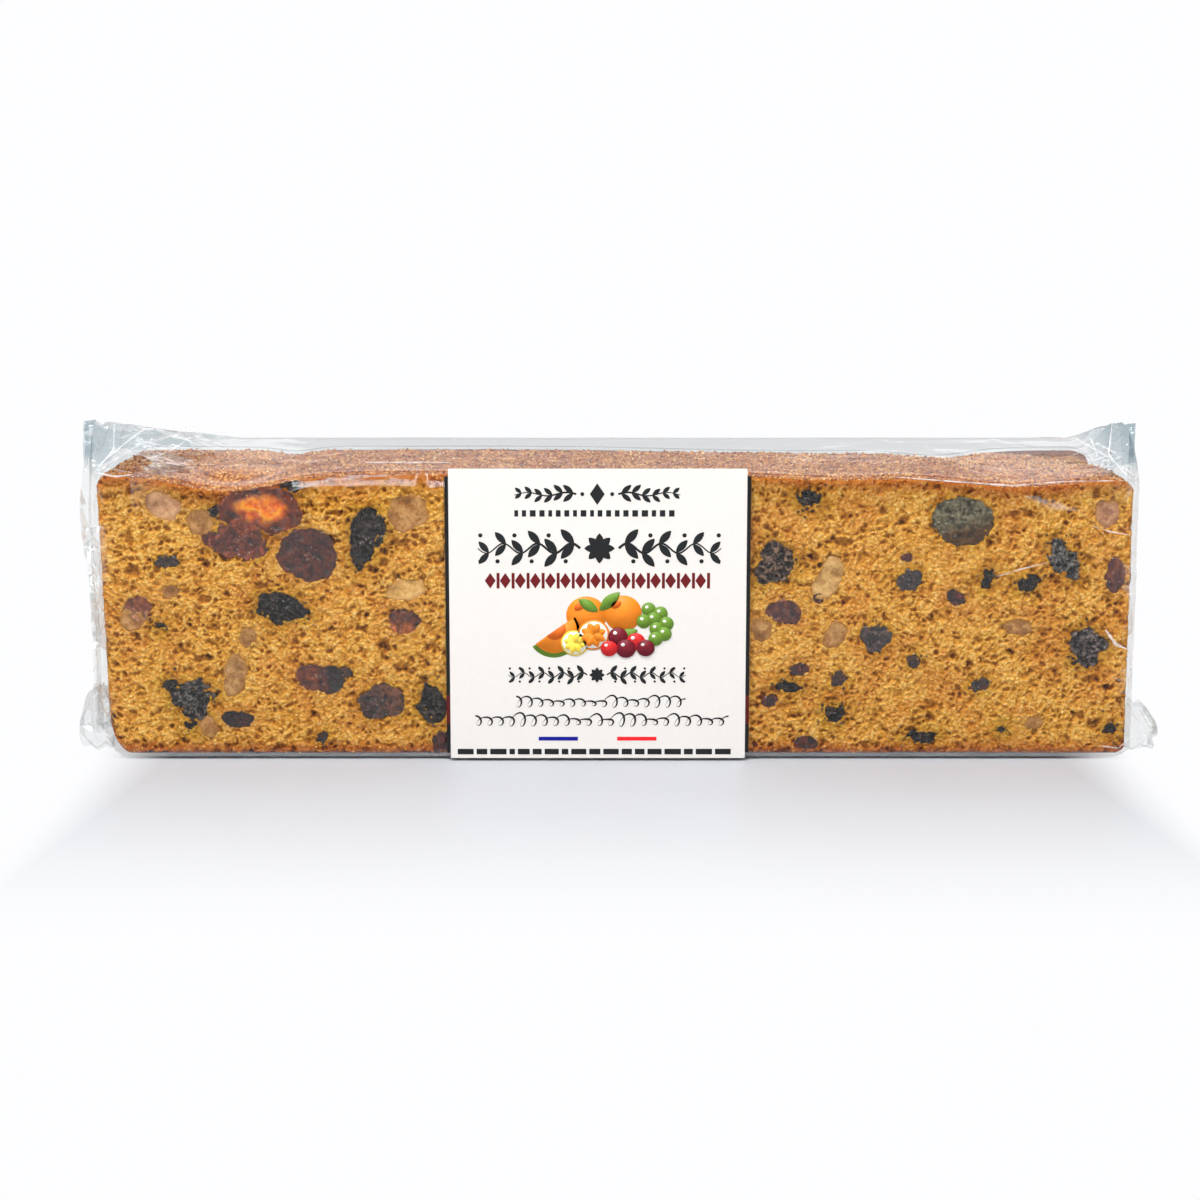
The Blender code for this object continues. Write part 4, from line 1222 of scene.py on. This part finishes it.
def print_sprig(x_low, x_high, z):
    """The heading: a lozenge between two rows of small leaves on a fine stem."""
    middle = (x_low + x_high) / 2
    parts = [flat_part(lozenge(middle, z, 3.0, 4.4)), flat_part(ellipse(middle - 3.0, z, 0.8, 0.8)),
             flat_part(ellipse(middle + 3.0, z, 0.8, 0.8))]
    reach = (x_high - x_low) / 2 - 4.2
    for side in (-1, 1):
        start = middle + side * 4.2
        path = [(start + side * reach * i / 30, z + 0.35 * math.sin(i / 3.0)) for i in range(31)]
        parts.append(ribbon_part(path, np.linspace(0.42, 0.16, 31)))
        for i in range(6):
            share = (i + 0.3) / 6
            x, stem = start + side * reach * share, z + 0.35 * math.sin(10 * share)
            for up in (-1, 1):
                tilt = up * 40 if side > 0 else 180 - up * 40
                shape = leaf(x, stem, 2.7 - 1.1 * share, 1.05 - 0.3 * share, tilt)
                parts.append(flat_part(shape, 0.6 + 0.2 * up))
    return parts


def print_dashes(x_low, x_high, z, height, widths, gap, seed, slope=0.0):
    """A row of small bars of uneven width."""
    draw = np.random.default_rng(seed)
    parts, x = [], x_low
    while x < x_high - widths[0]:
        width = min(draw.uniform(*widths), x_high - x)
        parts.append(flat_part(block(x, z - height / 2, width, height, slope)))
        x += width + gap
    return parts


def print_garland(x_low, x_high, z, pairs, swing, weight):
    """A garland of leaves that mirrors about a round flower, with berries on thin stalks."""
    middle, half = (x_low + x_high) / 2, (x_high - x_low) / 2
    petal = 0.62 * swing
    parts = []
    for number in range(8):
        parts.append(flat_part(leaf(middle, z, 1.5 * petal, 0.8 * petal, 45 * number), 0.2 * number))
    for side in (-1, 1):
        start = middle + side * 1.9 * petal
        reach = half - 1.9 * petal
        t = np.linspace(0, 1, 20 * pairs)
        path = np.stack([start + side * reach * t, z + 0.3 * swing * np.sin(math.pi * pairs * t)], -1)
        parts.append(ribbon_part(path, weight * np.linspace(0.5, 0.2, len(t))))
        for number in range(pairs):
            share = (number + 0.35) / pairs
            x, stem = start + side * reach * share, z + 0.3 * swing * math.sin(math.pi * pairs * share)
            size = swing * (1.25 - 0.35 * share)
            for up in (-1, 1):
                tilt = up * 48 if side > 0 else 180 - up * 48
                parts.append(flat_part(leaf(x, stem, size, 0.42 * size, tilt), 0.6 + 0.2 * up))
            berry = x + side * 0.5 * reach / pairs
            for up in (-1, 1):
                parts.append(flat_part(ellipse(berry, z + up * 0.8 * swing, 0.8 * weight, 0.8 * weight, 0, 16)))
    return parts


def print_loops(x_low, x_high, z, pitch, tall, weight, seed):
    """A fine looping pen line of uneven height."""
    draw = np.random.default_rng(seed)
    turns = int((x_high - x_low) / pitch)
    t = np.linspace(0, 2 * math.pi * turns, 22 * turns)
    knots = draw.uniform(0.35, 1.0, turns + 2)
    swing = tall / 2 * np.interp(t / (2 * math.pi), np.arange(turns + 2), knots)
    xs = x_low + (x_high - x_low) * t / t[-1] + 0.42 * pitch * np.sin(t) + SLOPE * swing * np.cos(t)
    path = np.stack([xs, z - tall / 4 + swing * (0.5 + np.cos(t))], -1)
    return [ribbon_part(path, weight * (0.55 + 0.45 * np.sin(t + 0.6)))]


def print_lozenges(x_low, x_high, z, height, count):
    """A row of lozenges with a slim bar between each two."""
    parts, pitch = [], (x_high - x_low) / count
    for i in range(count):
        x = x_low + pitch * (i + 0.5)
        parts.append(flat_part(lozenge(x - 0.12 * pitch, z, 0.72 * pitch, height)))
        parts.append(flat_part(block(x + 0.3 * pitch, z - height / 2, 0.2 * pitch, height)))
    return parts


# The fruit motif: ink, shape, X and Z from the motif's foot middle, width, height, tilt, layer
MOTIF = (
    ("green", "half", -9.6, 5.2, 10.6, 10.6, 35, 1),
    ("orange", "half", -9.5, 5.4, 9.2, 9.2, 35, 2),
    ("amber", "half", -9.3, 5.6, 4.4, 4.0, 35, 3),
    ("orange", "ellipse", -3.0, 8.6, 8.2, 7.8, 0, 1),
    ("orange", "ellipse", 4.4, 9.0, 7.6, 7.4, 0, 2),
    ("amber", "ellipse", -4.4, 10.4, 2.4, 1.5, 30, 3),
    ("amber", "ellipse", 3.0, 10.8, 2.2, 1.4, 30, 4),
    ("green", "leaf", -0.4, 9.6, 5.6, 2.4, 42, 4),
    ("green", "leaf", -0.6, 9.4, 4.8, 2.2, 148, 5),
    ("green", "leaf", 7.4, 5.6, 4.6, 2.0, -160, 6),
    ("plum", "ellipse", 3.4, 4.2, 4.0, 3.8, 0, 8),
    ("red", "ellipse", 7.0, 3.2, 3.8, 3.6, 0, 9),
    ("plum", "ellipse", 5.0, 1.8, 4.0, 3.8, 0, 10),
    ("plum", "ellipse", 9.0, 1.9, 3.6, 3.4, 0, 11),
    ("red", "ellipse", 1.6, 1.8, 3.4, 3.2, 0, 11),
    ("paper", "ellipse", 2.8, 5.0, 0.8, 0.7, 0, 12),
    ("paper", "ellipse", 6.4, 4.0, 0.8, 0.7, 0, 12),
    ("paper", "ellipse", 4.4, 2.6, 0.8, 0.7, 0, 12),
    ("paper", "ellipse", 8.4, 2.6, 0.7, 0.6, 0, 12),
    ("paper", "ellipse", 1.0, 2.5, 0.7, 0.6, 0, 12),
)
GRAPES = ((9.6, 9.8), (12.0, 9.0), (10.6, 7.8), (13.2, 6.9), (8.6, 7.4), (11.2, 5.8), (12.8, 4.8), (11.0, 3.8))
# Cut fruit: ink of its flesh, X and Z of its middle, width, height and tilt
SLICES = (
    ("orange", -1.6, 4.6, 6.6, 6.2, 20),
    ("lemon", -5.4, 2.9, 5.6, 5.2, -15),
)
SLICE_LAYER = 6
SEGMENTS = 8


INKS = {
    "green": linear(104, 142, 44),
    "lemon": linear(246, 214, 74),
    "orange": linear(240, 134, 26),
    "amber": linear(226, 104, 20),
    "red": linear(206, 32, 34),
    "plum": linear(116, 14, 34),
    "paper": linear(255, 250, 238),
}


def half_disc(x, z, width, height, tilt, count=24):
    """Half an ellipse with its straight side tilted."""
    turn = math.radians(tilt)
    made = []
    for i in range(count):
        angle = math.pi * (1 + i / (count - 1))
        a, b = width / 2 * math.cos(angle), height / 2 * math.sin(angle)
        made.append((x + a * math.cos(turn) - b * math.sin(turn), z + a * math.sin(turn) + b * math.cos(turn)))
    return made


def print_slice(parts, ink, x, z, width, height, tilt):
    """A cut fruit: its rind, the white under it, and its segments."""
    parts[ink].append(flat_part(ellipse(x, z, width, height, tilt), SLICE_LAYER))
    parts["paper"].append(flat_part(ellipse(x, z, 0.88 * width, 0.88 * height, tilt), SLICE_LAYER + 1))
    for number in range(SEGMENTS):
        turn = tilt + 360 * number / SEGMENTS
        reach = 0.42 * (width + height) / 2
        parts[ink].append(flat_part(leaf(x, z, reach, 0.62 * reach, turn), SLICE_LAYER + 2 + 0.1 * number))


def print_motif(x, foot):
    """A plain heap of fruit in simple shapes, as parts for each ink."""
    shapes = {"ellipse": ellipse, "leaf": leaf, "half": half_disc}
    parts = {ink: [] for ink in INKS}
    for ink, kind, dx, dz, width, height, tilt, layer in MOTIF:
        parts[ink].append(flat_part(shapes[kind](x + dx, foot + dz, width, height, tilt), layer))
    for number, (dx, dz) in enumerate(GRAPES):
        parts["green"].append(flat_part(ellipse(x + dx, foot + dz, 2.9, 2.9), 3 + 0.5 * number))
        parts["paper"].append(flat_part(ellipse(x + dx - 0.4, foot + dz + 0.5, 0.7, 0.6), 3.4 + 0.5 * number))
    for ink, dx, dz, width, height, tilt in SLICES:
        print_slice(parts, ink, x + dx, foot + dz, width, height, tilt)
    return parts


def paper_material(name, colour, roughness=0.45, grain=0.03):
    """Smooth printed paper: a faint mottle and the relief of its fibres."""
    look = Look(name, roughness, Specular_IOR_Level=0.3)
    shade = tuple(part * (1 - grain) for part in colour)
    mottle = look.noise(1.4, 4.0, 0.7)
    look.colour(look.ramp(mottle, (0.3, shade), (0.7, colour)))
    look.rough(look.span(mottle, 0.3, 0.7, roughness - 0.06, roughness + 0.06))
    look.bump(look.noise(0.25, 3.0, 0.6, stretch=(1, 1, 0.4)), 0.02)
    return look.material


def backing_material():
    """Black paper with a dark red band near its foot."""
    low, high = BACKING_BAND
    look = Look("backing_look", 0.4, Specular_IOR_Level=0.3)
    mottle = look.noise(1.4, 4.0, 0.7)
    black = look.ramp(mottle, (0.3, linear(16, 15, 15)), (0.7, linear(26, 25, 25)))
    red = look.ramp(mottle, (0.3, linear(84, 10, 8)), (0.7, linear(98, 14, 12)))
    height = look.node("ShaderNodeSeparateXYZ", {0: look.place}).outputs["Z"]
    above = look.math("GREATER_THAN", height, low * MM)
    below = look.math("LESS_THAN", height, high * MM)
    look.colour(look.blend(look.math("MULTIPLY", above, below), black, red))
    look.bump(mottle, 0.02)
    return look.material


def make_label():
    for node, look in (("label", paper_material("label_paper_look", PAPER)), ("label_backing", backing_material())):
        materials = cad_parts[node].data.materials
        materials.clear()
        materials.append(look)
    left, right = LABEL_MIDDLE - 30.0, LABEL_MIDDLE + 30.0
    charcoal = print_sprig(-20.2, 13.1, 54.9)
    charcoal += print_dashes(-20.2, 13.1, 51.0, 1.3, (0.7, 1.3), 0.75, 3)
    charcoal += print_garland(-27.6, 21.4, 43.9, 6, 3.3, 1.1)
    charcoal += print_garland(-21.6, 14.4, 17.9, 8, 1.7, 0.6)
    charcoal += print_loops(-20.4, 14.2, 12.4, 2.1, 2.6, 0.4, 5)
    charcoal += print_loops(-28.7, 22.9, 8.6, 2.2, 3.0, 0.42, 6)
    charcoal += print_dashes(left + 1.4, right - 1.6, 1.95, 1.15, (0.9, 3.4), 0.6, 4)
    ink_look = paper_material("ink_charcoal", CHARCOAL, 0.5, 0.2)
    make_piece("print_charcoal", charcoal, ink_look, sharp=30)
    red_band = print_lozenges(-26.3, 19.2, 37.3, 3.2, 15)
    ink_look = paper_material("ink_dark_red", DARK_RED, 0.5, 0.15)
    make_piece("print_dark_red", red_band, ink_look, sharp=30)
    for ink, parts in print_motif(LABEL_MIDDLE + 0.7, 21.6).items():
        make_piece(f"print_{ink}", parts, paper_material(f"ink_{ink}", INKS[ink], 0.5, 0.12))
    for ink, x, colour in (("blue_bar", -15.5, linear(0, 0, 140)), ("red_bar", 0.5, linear(235, 28, 36))):
        bar = [flat_part(block(x, 4.25, 8.0, 0.8))]
        make_piece(f"print_{ink}", bar, paper_material(f"ink_{ink}", colour, 0.5, 0.1), sharp=30)


# ---------------------------------------------------------------- floor, light and camera

CAMERA_TARGET = (-3.0, -24.0, 33.0)
CAMERA_AWAY = 507.0
CAMERA_PITCH = math.radians(9.8)
CAMERA_VIEW = math.radians(27.0)


ROOM_SPAN = (-0.4, 0.5)  # from the front to the back of the room
ROOM_GLOSS = (0.12, 0.5)  # how bright reflections of it are


def make_camera():
    data = bpy.data.cameras.new("camera")
    data.sensor_width = 36
    data.angle = CAMERA_VIEW
    data.clip_start = 0.01
    camera = bpy.data.objects.new("camera", data)
    back = Vector((0, -math.cos(CAMERA_PITCH), math.sin(CAMERA_PITCH)))
    camera.location = (Vector(CAMERA_TARGET) + back * CAMERA_AWAY) * MM
    camera.rotation_euler = (math.pi / 2 - CAMERA_PITCH, 0, 0)
    bpy.context.scene.collection.objects.link(camera)
    bpy.context.scene.camera = camera


def make_light(name, place, aim, size, power, colour=(1, 1, 1)):
    """A soft rectangular light at a place, pointing at another. Metres."""
    data = bpy.data.lights.new(name, "AREA")
    data.shape = "RECTANGLE"
    data.size, data.size_y = size
    data.energy = power
    data.color = colour
    light = bpy.data.objects.new(name, data)
    light.location = place
    light.rotation_euler = (Vector(aim) - Vector(place)).to_track_quat("-Z", "Y").to_euler()
    bpy.context.scene.collection.objects.link(light)


def make_world():
    """White where the camera sees it and a soft pale room for the light. In reflections the wall behind the
    cake is bright and the room in front of it is dim."""
    world = bpy.data.worlds.new("studio")
    world.use_nodes = True
    tree = world.node_tree
    path = tree.nodes.new("ShaderNodeLightPath")
    direction = tree.nodes.new("ShaderNodeTexCoord")
    split = tree.nodes.new("ShaderNodeSeparateXYZ")
    depth = tree.nodes.new("ShaderNodeMapRange")
    depth.inputs["From Min"].default_value, depth.inputs["From Max"].default_value = ROOM_SPAN
    depth.inputs["To Min"].default_value, depth.inputs["To Max"].default_value = ROOM_GLOSS
    tree.links.new(direction.outputs["Generated"], split.inputs[0])
    tree.links.new(split.outputs["Y"], depth.inputs["Value"])
    shown = tree.nodes["Background"]
    shown.inputs["Color"].default_value = (0.92, 0.96, 1.0, 1.0)
    shown.inputs["Strength"].default_value = 0.45
    for ray, colour, strength in (
        ("Is Glossy Ray", (0.92, 0.96, 1.0), depth.outputs["Result"]),
        ("Is Camera Ray", (0.985, 0.988, 1.0), 1.0),
    ):
        seen = tree.nodes.new("ShaderNodeBackground")
        seen.inputs["Color"].default_value = (*colour, 1.0)
        if isinstance(strength, float):
            seen.inputs["Strength"].default_value = strength
        else:
            tree.links.new(strength, seen.inputs["Strength"])
        both = tree.nodes.new("ShaderNodeMixShader")
        tree.links.new(path.outputs[ray], both.inputs[0])
        tree.links.new(shown.outputs[0], both.inputs[1])
        tree.links.new(seen.outputs[0], both.inputs[2])
        shown = both
    tree.links.new(shown.outputs[0], tree.nodes["World Output"].inputs["Surface"])
    bpy.context.scene.world = world


def make_floor():
    """A wide pale floor that fades to white round the cake's soft shade."""
    half = 6.0
    mesh = bpy.data.meshes.new("floor")
    corners = [(-half, -half, 0), (half, -half, 0), (half, half, 0), (-half, half, 0)]
    mesh.from_pydata(corners, [], [(0, 1, 2, 3)])
    floor = bpy.data.objects.new("floor", mesh)
    bpy.context.scene.collection.objects.link(floor)
    look = Look("floor_look", 0.5, Specular_IOR_Level=0.25)
    look.colour(look.ramp(look.noise(60.0), (0.0, linear(170, 172, 177)), (1.0, linear(176, 178, 183))))
    split = look.node("ShaderNodeSeparateXYZ", {0: look.place})
    beside = look.span(look.math("ABSOLUTE", split.outputs["X"]), 0.090, 0.108)
    ahead = look.span(split.outputs["Y"], -0.02, -0.15)
    behind = look.span(split.outputs["Y"], -0.01, 0.03)
    fade = look.math("MAXIMUM", look.math("MAXIMUM", beside, ahead), behind)
    white = look.node("ShaderNodeEmission", {"Color": (0.985, 0.988, 1.0, 1.0)})
    both = look.node("ShaderNodeMixShader", {0: fade, 1: look.shader.outputs[0], 2: white.outputs[0]})
    look.put(look.tree.nodes["Material Output"].inputs["Surface"], both.outputs[0])
    mesh.materials.append(look.material)


def make_studio():
    bpy.context.scene.view_settings.view_transform = "Standard"
    make_world()
    make_floor()
    make_light("softbox_above", (-0.1, -0.30, 0.66), (0, 0, 0.03), (0.7, 0.14), 7.4)
    make_light("softbox_front_left", (-0.6, -0.75, 0.3), (0, 0, 0.03), (0.5, 0.5), 1.85)
    make_light("softbox_front_right", (0.65, -0.8, 0.28), (0, 0, 0.03), (0.5, 0.5), 1.45)
    make_light("softbox_behind", (0.1, 0.7, 0.45), (0, 0, 0.04), (1.0, 0.3), 1.0)


# ---------------------------------------------------------------- all together

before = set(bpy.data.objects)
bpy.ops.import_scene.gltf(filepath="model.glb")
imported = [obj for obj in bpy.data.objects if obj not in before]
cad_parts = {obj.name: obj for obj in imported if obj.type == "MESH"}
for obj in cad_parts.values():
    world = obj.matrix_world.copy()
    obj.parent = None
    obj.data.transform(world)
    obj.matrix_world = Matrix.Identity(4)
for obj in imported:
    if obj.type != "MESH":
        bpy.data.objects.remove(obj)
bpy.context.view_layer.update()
make_camera()
label_low, label_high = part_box("label")
LABEL_FRONT = label_low.y / MM
LABEL_MIDDLE = (label_low.x + label_high.x) / 2 / MM
draw = np.random.default_rng(7)
large_fruit = [cad_outline(node) for node in sorted(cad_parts) if "fruit" in node]
large_fruit = [with_surround(s, SURROUNDS[s["name"]]) if s["name"] in SURROUNDS else s for s in large_fruit]
small_fruit = small_shapes(draw)
back_fruit = back_shapes(draw)
front_faces, top_crust = make_cake(large_fruit + small_fruit, back_fruit)
fruit_parts = make_fruit(large_fruit)
make_bits(front_faces, fruit_parts, top_crust)
make_joined_fruit("small", small_fruit, -1, 5000)
make_joined_fruit("back", back_fruit, 1, 7000)
make_film()
make_label()
make_studio()
